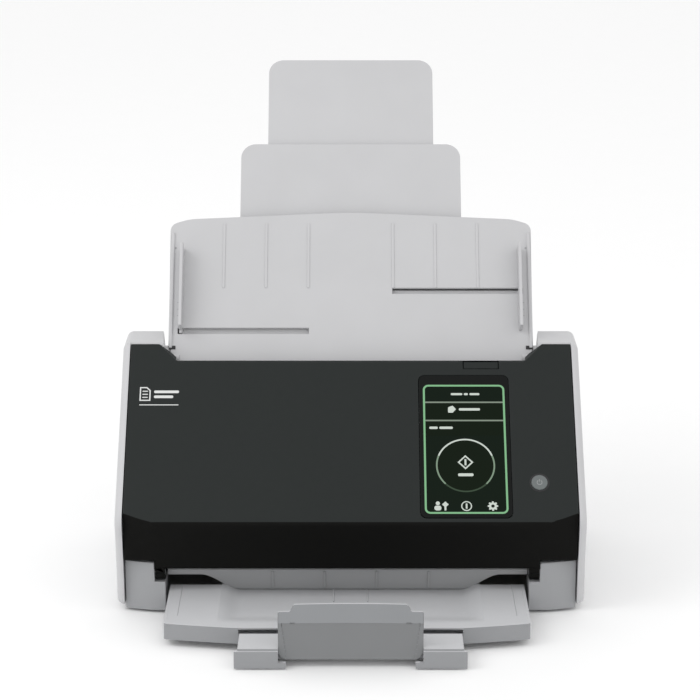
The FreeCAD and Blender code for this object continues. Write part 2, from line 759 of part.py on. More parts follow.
def release_lever():
    body = new_body("release_lever", "face")
    rod(body, ("-127", "lever_up", "lever_deep"), "lever_rod", "254")
    tab = [
        ("tab_low", "-0.1"), ("tab_high", "-0.1"), ("tab_high", "-2.3"), ("tab_low + tab_chamfer", "-2.3"),
    ]
    extrude(body, tab, "lever_left", "lever_right")
    tongue = [
        ("lever_up - 1", "lever_deep - 0.8"), ("lever_up - 1", "lever_deep + 0.8"),
        ("tab_low + tab_chamfer", "lever_deep + 0.8"), ("tab_low + tab_chamfer", "-1"),
        ("tab_low + tab_chamfer + 1.1", "-1"), ("tab_low + tab_chamfer + 1.1", "lever_deep - 0.8"),
    ]
    extrude(body, tongue, "82", "89")
    for side in (1, -1):
        low, high = mirrored(side, "123.5", "127")
        block(body, (low, "lever_up - 1.5", "-15"), (high, "lever_up + 1.5", "lever_deep"))



def touch_panel_glass():
    body = new_body("touch_panel_glass", "face")
    block(body, ("glass_left", "glass_low", "-1.6"), ("glass_right", "glass_high", "0.1"))
    soften(body, "glass_corner", lambda box: box.XLength < 0.01 and box.YLength < 0.01)



def display_module():
    body = new_body("display_module", "face")
    block(body, ("lit_left", "lit_low", "-7"), ("lit_right", "lit_high", "-1.6"))



def operator_board():
    body = new_body("operator_board", "face")
    block(body, ("104", "16", "-9.6"), ("134", "46", "-8"))
    block(body, ("button_across - 3", "button_up - 3", "-8"), ("button_across + 3", "button_up + 3", "-4.6"))



def power_button():
    body = new_body("power_button", "face")
    rod(body, ("button_across", "button_up", "-3.6"), "button_radius", "4.3", "Z")
    soften(body, "0.4", lambda box: box.ZMin > 0.6)


# Chute ---------------------------------------------------------------------------------------
def chute_plate():
    body = new_body("chute_plate", "chute")
    face = [
        ("-(chute_half - 1)", "chute_low", "3"), ("chute_half - 1", "chute_low", "3"),
        ("chute_half", "chute_side_high", "6"), ("chute_half - 12", "chute_side_high + 4", "36"),
        ("0", "chute_crown + 2", "300"), ("-(chute_half - 12)", "chute_side_high + 4", "36"),
        ("-chute_half", "chute_side_high", "6"),
    ]
    extrude(body, face, "-wall", "0", "XY")
    for side in (1, -1):
        low, high = mirrored(side, "chute_half - 3", "chute_half - 1")
        block(body, (low, "2", "-9"), (high, "chute_side_high - 6", "1.2"))
        low, high = mirrored(side, "112", "118")
        rod(body, (low, "chute_pin_up", "chute_pin_deep"), "chute_pin + 1.4", "6")
        low, high = mirrored(side, "111", "121")
        bore(body, (low, "chute_pin_up", "chute_pin_deep"), "chute_pin", "10")
        low, high = mirrored(side, "guide_across - guide_travel - 3", "guide_across + 3")
        up = guide_foot(side)
        cut_block(body, (low, f"{up} - 2", "-wall - 1"), (high, f"{up} + 2", "1"))
    rod(body, ("0", "rack_up", "rack_low - 0.2"), "stud_radius", "-wall - rack_low + 0.7", "Z")



def guide_foot(side):
    """How far up the chute each side guide's rack runs."""
    sign = "+" if side > 0 else "-"
    return f"(rack_up {sign} (rack_module * rack_teeth / 2 + 4))"


def chute_back_cover():
    body = new_body("chute_back_cover", "chute")
    block(body, ("-116.6", "8", "-15"), ("116.6", "84", "-wall"))
    cut_block(body, ("-114.6", "10", "-13"), ("114.6", "82", "-wall + 1"))
    cut_block(body, ("-78", "80", "-13"), ("78", "90", "-wall - 0.5"))



def chute_hinge_pins():
    body = new_body("chute_hinge_pins", "chute")
    for side in (1, -1):
        low, _ = mirrored(side, "112", "arm_in + wall")
        rod(body, (low, "chute_pin_up", "chute_pin_deep"), "chute_pin", "arm_in + wall - 112")



def side_guide(label, side):
    """An upright wall with a foot through the chute's slot and a toothed rack behind it."""
    body = new_body(label, "chute")
    up = guide_foot(side)
    low, high = mirrored(side, "guide_across", "guide_across + 2")
    block(body, (low, "14", "0.3"), (high, "72", "12"))
    block(body, (low, f"{up} - 1.6", "rack_low"), (high, f"{up} + 1.6", "1"))
    away = "+" if side > 0 else "-"
    pitch_line = f"(rack_up {away} rack_module * rack_teeth / 2)"
    root_line = f"({pitch_line} {away} 1.25 * rack_module)"
    tip_line = f"({pitch_line} {away} (-0.9) * rack_module)"
    back_line = f"({pitch_line} {away} 5.6 * rack_module)"
    low, high = mirrored(side, "-14", "guide_across + 2")
    edges = (root_line, back_line) if side > 0 else (back_line, root_line)
    block(body, (low, edges[0], "rack_low"), (high, edges[1], "rack_high"))
    first = "(-3.5 * pi * rack_module)" if side > 0 else "(-33.5 * pi * rack_module)"
    tooth = [
        (f"{first} - 1.07 * rack_module", root_line), (f"{first} + 1.07 * rack_module", root_line),
        (f"{first} + 0.3 * rack_module", tip_line), (f"{first} - 0.3 * rack_module", tip_line),
    ]
    cog = extrude(body, tooth, "rack_low", "rack_high", "XY")
    teeth = body.newObject("PartDesign::LinearPattern", f"{label}_teeth")
    teeth.Originals = [cog]
    teeth.Direction = (cog.Profile[0], ["H_Axis"])
    teeth.Occurrences = 38
    bind(teeth, Length="37 * pi * rack_module")
    body.Tip = teeth



def guide_pinion():
    """Turns on the chute plate's stud, between the two racks."""
    centre = FreeCAD.Vector(0, number("rack_up"), number("rack_low"))
    toothed_part(
        "guide_pinion", "rack_teeth", "rack_module", 0, "rack_high - rack_low",
        "stud_radius + running_gap", "chute", FreeCAD.Placement(centre, ALONG["Z"]),
    )


def chute_extension(label, half, low, high, deep, top):
    body = new_body(label, "chute")
    block(body, (f"-{half}", low, deep), (half, high, top))
    soften(body, "10", lambda box: box.ZLength > 1 and box.XLength < 0.1 and box.YMin > number(high) - 1)


# Stacker -------------------------------------------------------------------------------------
def stacker_tray():
    body = new_body("stacker_tray")
    floor = [
        ("-(wing_in + 1.5)", "-30"), ("-(wing_in + 1.5)", "tray_bow + 3"),
        ("-slot_half", "tray_bow + 0.5"), ("-slot_half", "ramp_end - 1"), ("slot_half", "ramp_end - 1"),
        ("slot_half", "tray_bow + 0.5"), ("wing_in + 1.5", "tray_bow + 3"), ("wing_in + 1.5", "-30"),
    ]
    extrude(body, floor, "tray_top - 1.5", "tray_top", "XY")
    ramp = [
        ("tray_bow", "tray_lip - 1.4"), ("tray_bow", "tray_lip"), ("ramp_start", "tray_lip"),
        ("ramp_end", "tray_top"), ("ramp_end", "tray_top - 1.5"), ("ramp_start + 1", "tray_lip - 1.4"),
    ]
    extrude(body, ramp, "-slot_half - 0.8", "slot_half + 0.8")
    for side in (1, -1):
        sign = "" if side > 0 else "-"
        half = f"(tray_half {inset(side)})"
        lip = [
            (f"{sign}{half}", "tray_corner", "3"), (f"{sign}{half}", "tray_corner + 6"),
            (f"{sign}({half} - 3)", "tray_corner + 6"), (f"{sign}({half} - 3)", "tray_corner + 3.2"),
            (f"{sign}slot_half", "tray_bow + 2.6"), (f"{sign}slot_half", "tray_bow"),
        ]
        extrude(body, lip, "tray_low", "tray_lip", "XY")
        wing = [
            (f"{sign}wing_in", "tray_bow + 3"), (f"{sign}({half} - 1)", "tray_corner + 2.5"),
            (f"{sign}({half} - 1)", "wing_back"), (f"{sign}wing_in", "wing_back"),
        ]
        extrude(body, wing, "tray_lip - 1.7", "tray_lip - 0.2", "XY")
        low, high = mirrored(side, "wing_in", "wing_in + 1.5")
        block(body, (low, "tray_bow + 3.5", "tray_top - 1.5"), (high, "wing_back", "tray_lip - 1"))
        low, high = mirrored(side, f"{half} - 2", half)
        block(body, (low, "tray_corner + 3.5", "tray_low + rail_gap"), (high, "wing_back", "tray_lip"))


def stacker_extension():
    body = new_body("stacker_extension")
    block(body, ("-slide_half", "-160.4", "slide_low"), ("slide_half", "slide_back", "slide_top"))
    for side in (1, -1):
        low, high = mirrored(side, "lip_in", "slide_half")
        block(body, (low, "slide_front + 1", "slide_low"), (high, "-159", "slide_top"))
        block(body, (low, "slide_front + 1", "slide_top - 1"), (high, "-142", "deck_high"))
        low, high = mirrored(side, "lip_in", "lip_out")
        block(body, (low, "slide_front", "lip_low"), (high, "slide_front + 2.5", "lip_high"))
        low, high = mirrored(side, "lip_foot_in", "lip_in + 1")
        block(body, (low, "slide_front", "lip_low"), (high, "slide_front + 2.5", "lip_foot_high"))
        low, high = mirrored(side, "30", "36")
        rod(body, (low, "stop_pivot_depth", "stop_pivot_height"), "stop_knuckle", "6")
        block(body, (low, "-160.2", "slide_top - 1"), (high, "-156.8", "stop_pivot_height - 0.5"))
        bore(body, (low, "stop_pivot_depth", "stop_pivot_height"), "stop_pin", "6")



def paper_stopper():
    body = new_body("paper_stopper")
    shape = [
        ("-38.6", "5"), ("-42.6", "8"), ("-43.2", "13"), ("-43.5", "35.9", "1.2"), ("-36.4", "35.9", "1"),
        ("-33.6", "40.6", "1.5"), ("33.6", "40.6", "1.5"), ("36.4", "35.9", "1"), ("43.5", "35.9", "1.2"),
        ("43.2", "13"), ("42.6", "8"), ("38.6", "5"),
    ]
    extrude(body, shape, "-163", "-161", "XZ")
    for side in (1, -1):
        low, high = mirrored(side, "41.3", "43.1")
        block(body, (low, "-165", "13.2"), (high, "-162", "30"))
        low, high = mirrored(side, "22", "29.7")
        rod(body, (low, "stop_pivot_depth", "stop_pivot_height"), "stop_knuckle", "7.7")
        block(body, (low, "-161.2", "9.2"), (high, "stop_pivot_depth", "12.2"))
        bore(body, (low, "stop_pivot_depth", "stop_pivot_height"), "stop_pin + running_gap", "7.7")



def stopper_pin():
    body = new_body("stopper_pin")
    rod(body, ("-36", "stop_pivot_depth", "stop_pivot_height"), "stop_pin", "72")


# The whole object ----------------------------------------------------------------------------
def build_casing():
    base_casing()
    side_cover("left_side_cover", -1)
    side_cover("right_side_cover", 1)
    rear_cover()
    rubber_feet()
    case_screws()


def build_inner_frame():
    chassis_plate("left_chassis_plate", -1)
    chassis_plate("right_chassis_plate", 1)
    latch_catch_pins()
    shaft_bushings()
    cross_member()
    feed_guide_plate()
    exit_guide()
    sensor("rear_image_sensor", "-14", "-1.4")
    sensor("rear_sensor_glass", "-1.4", "-0.1")
    main_circuit_board()
    for entry in PORTS:
        port(*entry)


def build_drive():
    drive_motor()
    motor_pinion()
    exit_gear()
    shaft("exit_shaft", "exit_up", "drive_deep", "-141", "gear_out")
    shaft("feed_shaft", "feed_up", "drive_deep", "-141", "plate_out + 1.5")
    shaft("pick_shaft", "pick_up", "drive_deep", "-141", "plate_out + 1.5")
    wide = [("-58", "-42"), ("42", "58")]
    narrow = [("-20", "-4"), ("4", "20")]
    roller_set("exit_rollers", "exit_up", "drive_deep", "drive_radius", wide)
    roller_set("feed_rollers", "feed_up", "drive_deep", "drive_radius", narrow)
    roller_set("pick_rollers", "pick_up", "drive_deep", "drive_radius", narrow)
    pulley("exit_pulley", "exit_up", [("-136.5", "-133")])
    pulley("feed_pulley", "feed_up", [("-140.8", "-133")])
    pulley("pick_pulley", "pick_up", [("-140.8", "-137.3")])
    drive_belts(
        [
            ("exit_up", "feed_up", "-136.5", "-133"),
            ("feed_up", "pick_up", "-140.8", "-137.3"),
        ]
    )


def build_cover():
    cover = front_cover()
    open_cover_windows(cover)
    cover_hinge_pins()
    cover_inner_guide()
    cover_frame()
    sensor("front_image_sensor", "path_gap + 1.4", "16")
    sensor("front_sensor_glass", "path_gap + 0.1", "path_gap + 1.4")
    shaft("idler_shaft", "exit_up", "idler_high", "-(guide_half + 2.3)", "guide_half + 2.3")
    shaft("brake_shaft", "feed_up", "idler_high", "-(guide_half + 2.3)", "guide_half + 2.3")
    roller_set("idler_rollers", "exit_up", "idler_high", "idler_radius", [("-58", "-42"), ("42", "58")])
    roller_set("brake_rollers", "feed_up", "idler_high", "idler_radius", [("-14", "-1"), ("1", "14")])
    touch_panel_glass()
    display_module()
    operator_board()
    power_button()
    release_lever()


def build_chute():
    chute_plate()
    chute_back_cover()
    chute_hinge_pins()
    side_guide("left_side_guide", -1)
    side_guide("right_side_guide", 1)
    guide_pinion()
    chute_extension("lower_chute_extension", "74", "70", "150", "-8", "-5.7")
    chute_extension("upper_chute_extension", "56", "140", "214", "-10.6", "-8.3")


def build_stacker():
    stacker_tray()
    stacker_extension()
    paper_stopper()
    stopper_pin()


def check_document():
    document.recompute()
    for item in document.Objects:
        if "Invalid" in item.State or "Error" in item.State:
            raise RuntimeError(f"{item.Label} failed: {item.State}")
        if item.TypeId in CUTTERS and item.Shape.Volume > item.BaseFeature.Shape.Volume - 0.01:
            raise RuntimeError(f"{item.Label} cuts nothing")
    for node in nodes:
        if node.Shape.isNull() or not node.Shape.isValid():
            raise RuntimeError(f"{node.Label} has no valid shape")


build_casing()
build_inner_frame()
build_drive()
build_cover()
build_chute()
build_stacker()
check_document()
os.makedirs("parts", exist_ok=True)
for node in nodes:
    node.Shape.exportStep(f"parts/{node.Label}.step")
whole = FreeCAD.BoundBox()
for node in nodes:
    whole.add(node.Shape.BoundBox)
print(len(nodes), "nodes, box", whole)
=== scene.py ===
"""Looks of the sheet-fed document scanner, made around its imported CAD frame.

Pieces are drawn in millimetres in a local frame and placed in metres in the row frame.
"""

import json
import math
import bmesh
import bpy
from mathutils import Matrix, Vector

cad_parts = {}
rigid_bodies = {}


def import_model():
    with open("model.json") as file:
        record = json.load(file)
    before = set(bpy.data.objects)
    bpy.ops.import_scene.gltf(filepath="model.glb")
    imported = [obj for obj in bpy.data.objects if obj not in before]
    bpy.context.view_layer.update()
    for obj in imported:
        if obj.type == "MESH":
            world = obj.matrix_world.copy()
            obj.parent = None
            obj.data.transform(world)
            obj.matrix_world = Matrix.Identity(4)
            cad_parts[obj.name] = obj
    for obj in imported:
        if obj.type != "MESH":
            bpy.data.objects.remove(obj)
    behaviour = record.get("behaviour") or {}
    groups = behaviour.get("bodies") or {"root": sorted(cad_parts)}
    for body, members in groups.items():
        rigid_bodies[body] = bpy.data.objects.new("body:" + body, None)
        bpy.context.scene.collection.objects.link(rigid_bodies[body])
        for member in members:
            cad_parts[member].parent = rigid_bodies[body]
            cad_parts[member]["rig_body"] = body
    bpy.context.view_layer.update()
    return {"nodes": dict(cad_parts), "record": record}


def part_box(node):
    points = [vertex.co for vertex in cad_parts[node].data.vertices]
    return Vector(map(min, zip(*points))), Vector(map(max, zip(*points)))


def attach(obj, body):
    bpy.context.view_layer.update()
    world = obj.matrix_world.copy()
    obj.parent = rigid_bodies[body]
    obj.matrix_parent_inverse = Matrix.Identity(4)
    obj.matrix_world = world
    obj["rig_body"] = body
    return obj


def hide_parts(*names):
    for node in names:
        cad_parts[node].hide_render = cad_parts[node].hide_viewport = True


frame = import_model()

MM = 0.001
CASE_SHIFT = 10.29


# Frames ---------------------------------------------------------------------------------------
def slanted(depth, height, tilt):
    """A local frame in millimetres: X across, Y up the slope, Z outwards from the slope."""
    stand = Matrix.Translation((0, CASE_SHIFT + depth, height))
    return Matrix.Scale(MM, 4) @ stand @ Matrix.Rotation(math.radians(tilt), 4, "X")


CASE = slanted(0, 0, 0)
FACE = slanted(-84, 62.3, 45)
CHUTE = slanted(14, 146, 55)
ROW = Matrix.Identity(4)


# Materials ------------------------------------------------------------------------------------
def new_material(name, colour, roughness, **settings):
    """A Principled material with constant settings on the shader's own sockets."""
    material = bpy.data.materials.new(name)
    material.use_nodes = True
    shader = material.node_tree.nodes["Principled BSDF"]
    shader.inputs["Base Color"].default_value = (*colour, 1)
    shader.inputs["Roughness"].default_value = roughness
    for socket, value in settings.items():
        shader.inputs[socket.replace("_", " ")].default_value = value
    return material, material.node_tree, shader


def noise(tree, pitch, detail=2, stretch=(1, 1, 1)):
    """Noise whose grains are about pitch millimetres wide."""
    place = tree.nodes.new("ShaderNodeTexCoord")
    mapping = tree.nodes.new("ShaderNodeMapping")
    mapping.inputs["Scale"].default_value = stretch
    texture = tree.nodes.new("ShaderNodeTexNoise")
    texture.inputs["Scale"].default_value = 1 / (pitch * MM)
    texture.inputs["Detail"].default_value = detail
    tree.links.new(place.outputs["Object"], mapping.inputs["Vector"])
    tree.links.new(mapping.outputs["Vector"], texture.inputs["Vector"])
    return texture.outputs["Fac"]


def spread(tree, value, low, high):
    node = tree.nodes.new("ShaderNodeMapRange")
    for socket, number in (("From Min", 0.3), ("From Max", 0.7), ("To Min", low), ("To Max", high)):
        node.inputs[socket].default_value = number
    tree.links.new(value, node.inputs["Value"])
    return node.outputs["Result"]


def tint(tree, value, first, second):
    node = tree.nodes.new("ShaderNodeMix")
    node.data_type = "RGBA"
    node.inputs["A"].default_value = (*first, 1)
    node.inputs["B"].default_value = (*second, 1)
    tree.links.new(value, node.inputs["Factor"])
    return node.outputs["Result"]


def bump(tree, shader, value, height):
    """Relief, its height in millimetres."""
    node = tree.nodes.new("ShaderNodeBump")
    node.inputs["Distance"].default_value = height * MM
    node.inputs["Strength"].default_value = 1
    tree.links.new(value, node.inputs["Height"])
    tree.links.new(node.outputs["Normal"], shader.inputs["Normal"])


def shade(colour, factor):
    return tuple(min(channel * factor, 1) for channel in colour)


def moulded(name, colour, roughness=0.5, grain=0.012, pitch=0.45, mottling=0.04, **settings):
    """Moulded plastic: spark-eroded grain, faint mottling and an uneven sheen."""
    material, tree, shader = new_material(name, colour, roughness, **settings)
    clouds = noise(tree, 34, 3)
    tree.links.new(
        tint(tree, clouds, shade(colour, 1 - mottling), shade(colour, 1 + mottling)),
        shader.inputs["Base Color"],
    )
    sheen = noise(tree, 5, 4)
    tree.links.new(spread(tree, sheen, roughness - 0.05, roughness + 0.05), shader.inputs["Roughness"])
    bump(tree, shader, noise(tree, pitch, 3), grain)
    return material


def rubber(name, colour, grooves=(1, 1, 1), pitch=0.5):
    """Ground rubber: matt, finely pitted and a little dusty."""
    material, tree, shader = new_material(name, colour, 0.85, Specular_IOR_Level=0.25, Sheen_Weight=0.1)
    dust = noise(tree, 6, 4)
    tree.links.new(tint(tree, dust, colour, shade(colour, 1.5)), shader.inputs["Base Color"])
    bump(tree, shader, noise(tree, pitch, 4, grooves), 0.05)
    return material


def steel(name, colour, roughness, stretch, anisotropic=0.4):
    """Metal with fine tool marks drawn out along one direction."""
    material, tree, shader = new_material(name, colour, roughness, Metallic=1, Anisotropic=anisotropic)
    marks = noise(tree, 0.6, 4, stretch)
    tree.links.new(spread(tree, marks, roughness - 0.08, roughness + 0.1), shader.inputs["Roughness"])
    tree.links.new(tint(tree, marks, shade(colour, 0.9), colour), shader.inputs["Base Color"])
    bump(tree, shader, marks, 0.006)
    return material


def dark_glass(name, colour):
    """Anti-glare cover glass over a black mask, with faint smears."""
    material, tree, shader = new_material(name, colour, 0.12, Specular_IOR_Level=0.12)
    smears = noise(tree, 14, 5, (1, 0.4, 1))
    tree.links.new(spread(tree, smears, 0.08, 0.2), shader.inputs["Roughness"])
    tree.links.new(tint(tree, smears, colour, shade(colour, 1.3)), shader.inputs["Base Color"])
    bump(tree, shader, noise(tree, 30, 2), 0.004)
    return material


def lit(name, colour):
    """A lit part of the display: light seen through a fine pixel grid."""
    material, tree, shader = new_material(name, (0.002, 0.0025, 0.002), 0.25, Specular_IOR_Level=0.06)
    shader.inputs["Emission Strength"].default_value = 1
    grid = noise(tree, 0.25, 1)
    tree.links.new(tint(tree, grid, shade(colour, 0.85), colour), shader.inputs["Emission Color"])
    tree.links.new(spread(tree, grid, 0.2, 0.3), shader.inputs["Roughness"])
    return material


def board(name):
    """Solder resist over copper tracks."""
    material, tree, shader = new_material(name, (0.015, 0.09, 0.035), 0.35)
    tracks = tree.nodes.new("ShaderNodeTexBrick")
    tracks.inputs["Scale"].default_value = 160
    tracks.inputs["Mortar Size"].default_value = 0.03
    tracks.inputs["Color1"].default_value = (0.015, 0.09, 0.035, 1)
    tracks.inputs["Color2"].default_value = (0.02, 0.12, 0.045, 1)
    tracks.inputs["Mortar"].default_value = (0.05, 0.2, 0.08, 1)
    place = tree.nodes.new("ShaderNodeTexCoord")
    turn = tree.nodes.new("ShaderNodeMapping")
    turn.inputs["Rotation"].default_value = (math.radians(90), 0, 0)
    tree.links.new(place.outputs["Object"], turn.inputs["Vector"])
    tree.links.new(turn.outputs["Vector"], tracks.inputs["Vector"])
    tree.links.new(tracks.outputs["Color"], shader.inputs["Base Color"])
    tree.links.new(spread(tree, noise(tree, 4), 0.3, 0.45), shader.inputs["Roughness"])
    bump(tree, shader, tracks.outputs["Fac"], 0.03)
    return material


LIGHT_GREY = (0.52, 0.52, 0.53)
TRAY_GREY = (0.56, 0.565, 0.58)
MATERIALS = {
    "casing_grey": moulded("casing_plastic", LIGHT_GREY, 0.48),
    "tray_grey": moulded("tray_plastic", TRAY_GREY, 0.52),
    # painted shade: a darker copy of the tray grey for the stopper flap and its knuckles
    "stopper_shade_grey": moulded("stopper_painted_shade_plastic", (0.215, 0.22, 0.225), 0.5, Specular_IOR_Level=0.3),
    # painted light: a lighter copy for the band of the flap that leans back towards the light
    "stopper_band_light": moulded("stopper_band_painted_light_plastic", (0.262, 0.27, 0.28), 0.5, Specular_IOR_Level=0.3),
    # painted shade: a darker copy of the casing grey for the base; the chute's ticks and dots take it too
    "shaded_base_and_mark_grey": moulded("shaded_base_and_mark_plastic", (0.335, 0.34, 0.35), 0.5, Specular_IOR_Level=0.3),
    # painted shade: darker still, for the floor inside the base's hollow
    "hollow_shade_grey": moulded("hollow_painted_shade_plastic", (0.3, 0.3, 0.29), 0.6, Specular_IOR_Level=0.2),
    # painted shade: a darker copy of the tray grey for faces that look forwards
    "front_face_shade_grey": moulded("front_face_painted_shade_plastic", (0.30, 0.305, 0.315), 0.5, Specular_IOR_Level=0.3),
    "cover_charcoal": moulded(
        "cover_plastic", (0.0125, 0.0155, 0.0148), 0.5, grain=0.016, Specular_IOR_Level=0.22
    ),
    # painted shade: a darker, duller copy of the charcoal for the cover's lower faces
    "cover_underside_shade": moulded(
        "cover_lower_painted_shade_plastic", (0.0045, 0.0045, 0.004), 0.6, grain=0.016, Specular_IOR_Level=0.08
    ),
    "guide_grey": moulded("guide_plastic", (0.36, 0.365, 0.37), 0.4, grain=0.006),
    "frame_black": moulded("frame_plastic", (0.012, 0.012, 0.013), 0.55),
    "key_grey": moulded("key_plastic", (0.125, 0.14, 0.14), 0.36, grain=0.005),
    "print_white": moulded("print_ink", (0.66, 0.67, 0.66), 0.6, grain=0.004),
    "sign_grey": moulded("key_sign_ink", (0.30, 0.31, 0.31), 0.5, grain=0.004),
    "foot_rubber": rubber("foot_rubber", (0.018, 0.018, 0.018)),
    "roller_rubber": rubber("roller_rubber", (0.06, 0.065, 0.07), (0.15, 1, 1)),
    "belt_rubber": rubber("belt_rubber", (0.015, 0.015, 0.015)),
    "plated_steel": steel("plated_steel", (0.55, 0.56, 0.57), 0.38, (1, 1, 0.1)),
    "turned_steel": steel("turned_steel", (0.62, 0.62, 0.62), 0.25, (1, 0.05, 0.05), 0.6),
    "gear_plastic": moulded("gear_plastic", (0.72, 0.71, 0.66), 0.42, grain=0.003),
    "port_black": moulded("port_plastic", (0.01, 0.01, 0.01), 0.45),
    "board_green": board("circuit_board"),
    "sensor_glass": dark_glass("sensor_glass", (0.05, 0.06, 0.06)),
    "screen_glass": dark_glass("screen_glass", (0.0042, 0.0048, 0.0045)),
    "screen_module": moulded("screen_module", (0.03, 0.03, 0.032), 0.4),
    "screen_ground": lit("screen_ground", (0.0035, 0.009, 0.0045)),
    "screen_panel": lit("screen_panel", (0.0035, 0.0085, 0.003)),
    "screen_green": lit("screen_green", (0.25, 0.52, 0.28)),
    "screen_white": lit("screen_white", (0.66, 0.72, 0.66)),
    "screen_line": lit("screen_line", (0.24, 0.33, 0.24)),
    "screen_rule": lit("screen_rule", (0.26, 0.31, 0.25)),
    "screen_dim": lit("screen_dim", (0.05, 0.08, 0.05)),
}


# Mesh tools -----------------------------------------------------------------------------------
def rounded(corners, steps=6):
    """Outline points from corners (x, y) or (x, y, radius)."""
    points = []
    count = len(corners)
    for index, corner in enumerate(corners):
        apex = Vector(corner[:2])
        if len(corner) == 2:
            points.append(tuple(apex))
            continue
        back = (Vector(corners[index - 1][:2]) - apex).normalized()
        ahead = (Vector(corners[(index + 1) % count][:2]) - apex).normalized()
        half = back.angle(ahead) / 2
        centre = apex + (back + ahead).normalized() * corner[2] / math.sin(half)
        start = apex + back * corner[2] / math.tan(half) - centre
        sweep = start.angle_signed(apex + ahead * corner[2] / math.tan(half) - centre)
        for step in range(steps + 1):
            angle = -sweep * step / steps
            turned = Matrix.Rotation(angle, 2) @ start
            points.append(tuple(centre + turned))
    return points


def box_outline(low, high, radius):
    (left, bottom), (right, top) = low, high
    return rounded(
        [(left, bottom, radius), (right, bottom, radius), (right, top, radius), (left, top, radius)]
    )


def disc_outline(centre, radius, count=48, start=0.0, sweep=360.0):
    return [
        (
            centre[0] + radius * math.cos(math.radians(start + sweep * index / count)),
            centre[1] + radius * math.sin(math.radians(start + sweep * index / count)),
        )
        for index in range(count + (sweep < 360))
    ]


def place_point(a, b, c, axis):
    return {"X": (c, a, b), "Y": (a, c, b), "Z": (a, b, c)}[axis]


def add_prism(bm, outline, low, high, axis="Z"):
    """A closed prism of a flat outline between two distances along an axis."""
    rings = [[bm.verts.new(place_point(a, b, c, axis)) for a, b in outline] for c in (low, high)]
    bm.faces.new(rings[0][::-1])
    bm.faces.new(rings[1])
    for index in range(len(outline)):
        bm.faces.new((rings[0][index - 1], rings[0][index], rings[1][index], rings[1][index - 1]))


def add_band(bm, outer, inner, low, high, axis="Z", closed=True):
    """A prism whose cross-section is the band between two outlines with as many points."""
    count = len(outer)
    rings = [
        [bm.verts.new(place_point(a, b, c, axis)) for a, b in line]
        for c in (low, high)
        for line in (outer, inner)
    ]
    low_out, low_in, high_out, high_in = rings
    for index in range(0 if closed else 1, count):
        before = index - 1
        for a, b in ((high_out, high_in), (low_in, low_out), (low_out, high_out), (high_in, low_in)):
            bm.faces.new((a[before], a[index], b[index], b[before]))
    if not closed:
        for index in (0, count - 1):
            bm.faces.new((low_out[index], high_out[index], high_in[index], low_in[index]))


def add_turned(bm, profile, centre, count=48):
    """A turned solid about local Z. The profile is (radius, height), from axis to axis."""
    rings = []
    for radius, height in profile:
        if radius == 0:
            rings.append([bm.verts.new((*centre, height))])
            continue
        rings.append(
            [bm.verts.new((x, y, height)) for x, y in disc_outline(centre, radius, count)]
        )
    for first, second in zip(rings, rings[1:]):
        for index in range(count):
            around = [first[index - 1], first[index % len(first)]] if len(first) > 1 else [first[0]]
            back = [second[index], second[index - 1]] if len(second) > 1 else [second[0]]
            bm.faces.new(around + back)


def add_sheet(bm, rows, columns, top, bottom):
    """A closed slab over a grid: top(i, j) and bottom(i, j) give its two skins' points."""
    skins = [
        [[bm.verts.new(skin(i, j)) for j in range(columns)] for i in range(rows)]
        for skin in (top, bottom)
    ]
    for i in range(rows - 1):
        for j in range(columns - 1):
            for skin in skins:
                bm.faces.new((skin[i][j], skin[i][j + 1], skin[i + 1][j + 1], skin[i + 1][j]))
    for i in range(rows - 1):
        for j in (0, columns - 1):
            bm.faces.new((skins[0][i][j], skins[0][i + 1][j], skins[1][i + 1][j], skins[1][i][j]))
    for j in range(columns - 1):
        for i in (0, rows - 1):
            bm.faces.new((skins[0][i][j], skins[0][i][j + 1], skins[1][i][j + 1], skins[1][i][j]))


SHARP_ANGLE = math.radians(32)
MERGE_ANGLE = math.radians(0.6)


def make_piece(name, bm, place, body, slot, finish=None, bevel=0.0, segments=2, replaces=()):
    """Turns a bmesh into a placed, rounded, finished piece that rides on a body."""
    bmesh.ops.recalc_face_normals(bm, faces=bm.faces)
    mesh = bpy.data.meshes.new(name)
    bm.to_mesh(mesh)
    bm.free()
    mesh.transform(place)
    for polygon in mesh.polygons:
        polygon.use_smooth = True
    mesh.set_sharp_from_angle(angle=SHARP_ANGLE)
    piece = bpy.data.objects.new(name, mesh)
    bpy.context.scene.collection.objects.link(piece)
    mesh.materials.append(MATERIALS[finish or slot])
    if bevel:
        rounding = piece.modifiers.new("edge_rounding", "BEVEL")
        rounding.width = bevel * MM
        rounding.segments = segments
        rounding.limit_method = "ANGLE"
        rounding.angle_limit = SHARP_ANGLE
        rounding.use_clamp_overlap = False
        rounding.harden_normals = True
    flatness = piece.modifiers.new("flat_faces", "WEIGHTED_NORMAL")
    flatness.keep_sharp = True
    flatness.weight = 100
    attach(piece, body)
    if replaces:
        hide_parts(*replaces)
    return piece


SLOT_OF = {part["node"]: part["material_slot"] for part in frame["record"]["subparts"]}
BODY_OF = {node: part["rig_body"] for node, part in frame["nodes"].items()}


def refined(node, bevel=0.4, segments=2, finish=None):
    """The CAD node's own shape with its facets merged and its edges rounded."""
    bm = bmesh.new()
    bm.from_mesh(frame["nodes"][node].data)
    bmesh.ops.remove_doubles(bm, verts=bm.verts, dist=0.001 * MM)
    bmesh.ops.dissolve_limit(bm, angle_limit=MERGE_ANGLE, verts=bm.verts, edges=bm.edges)
    return make_piece(
        node + "_shell", bm, ROW, BODY_OF[node], SLOT_OF[node], finish, bevel, segments, (node,)
    )


def paint_front_shade(piece, finish, lean=-0.6):
    """Paints shade on the faces that look forwards by giving them a darker copy of the grey."""
    piece.data.materials.append(MATERIALS[finish])
    for polygon in piece.data.polygons:
        if polygon.normal.y < lean:
            polygon.material_index = 1


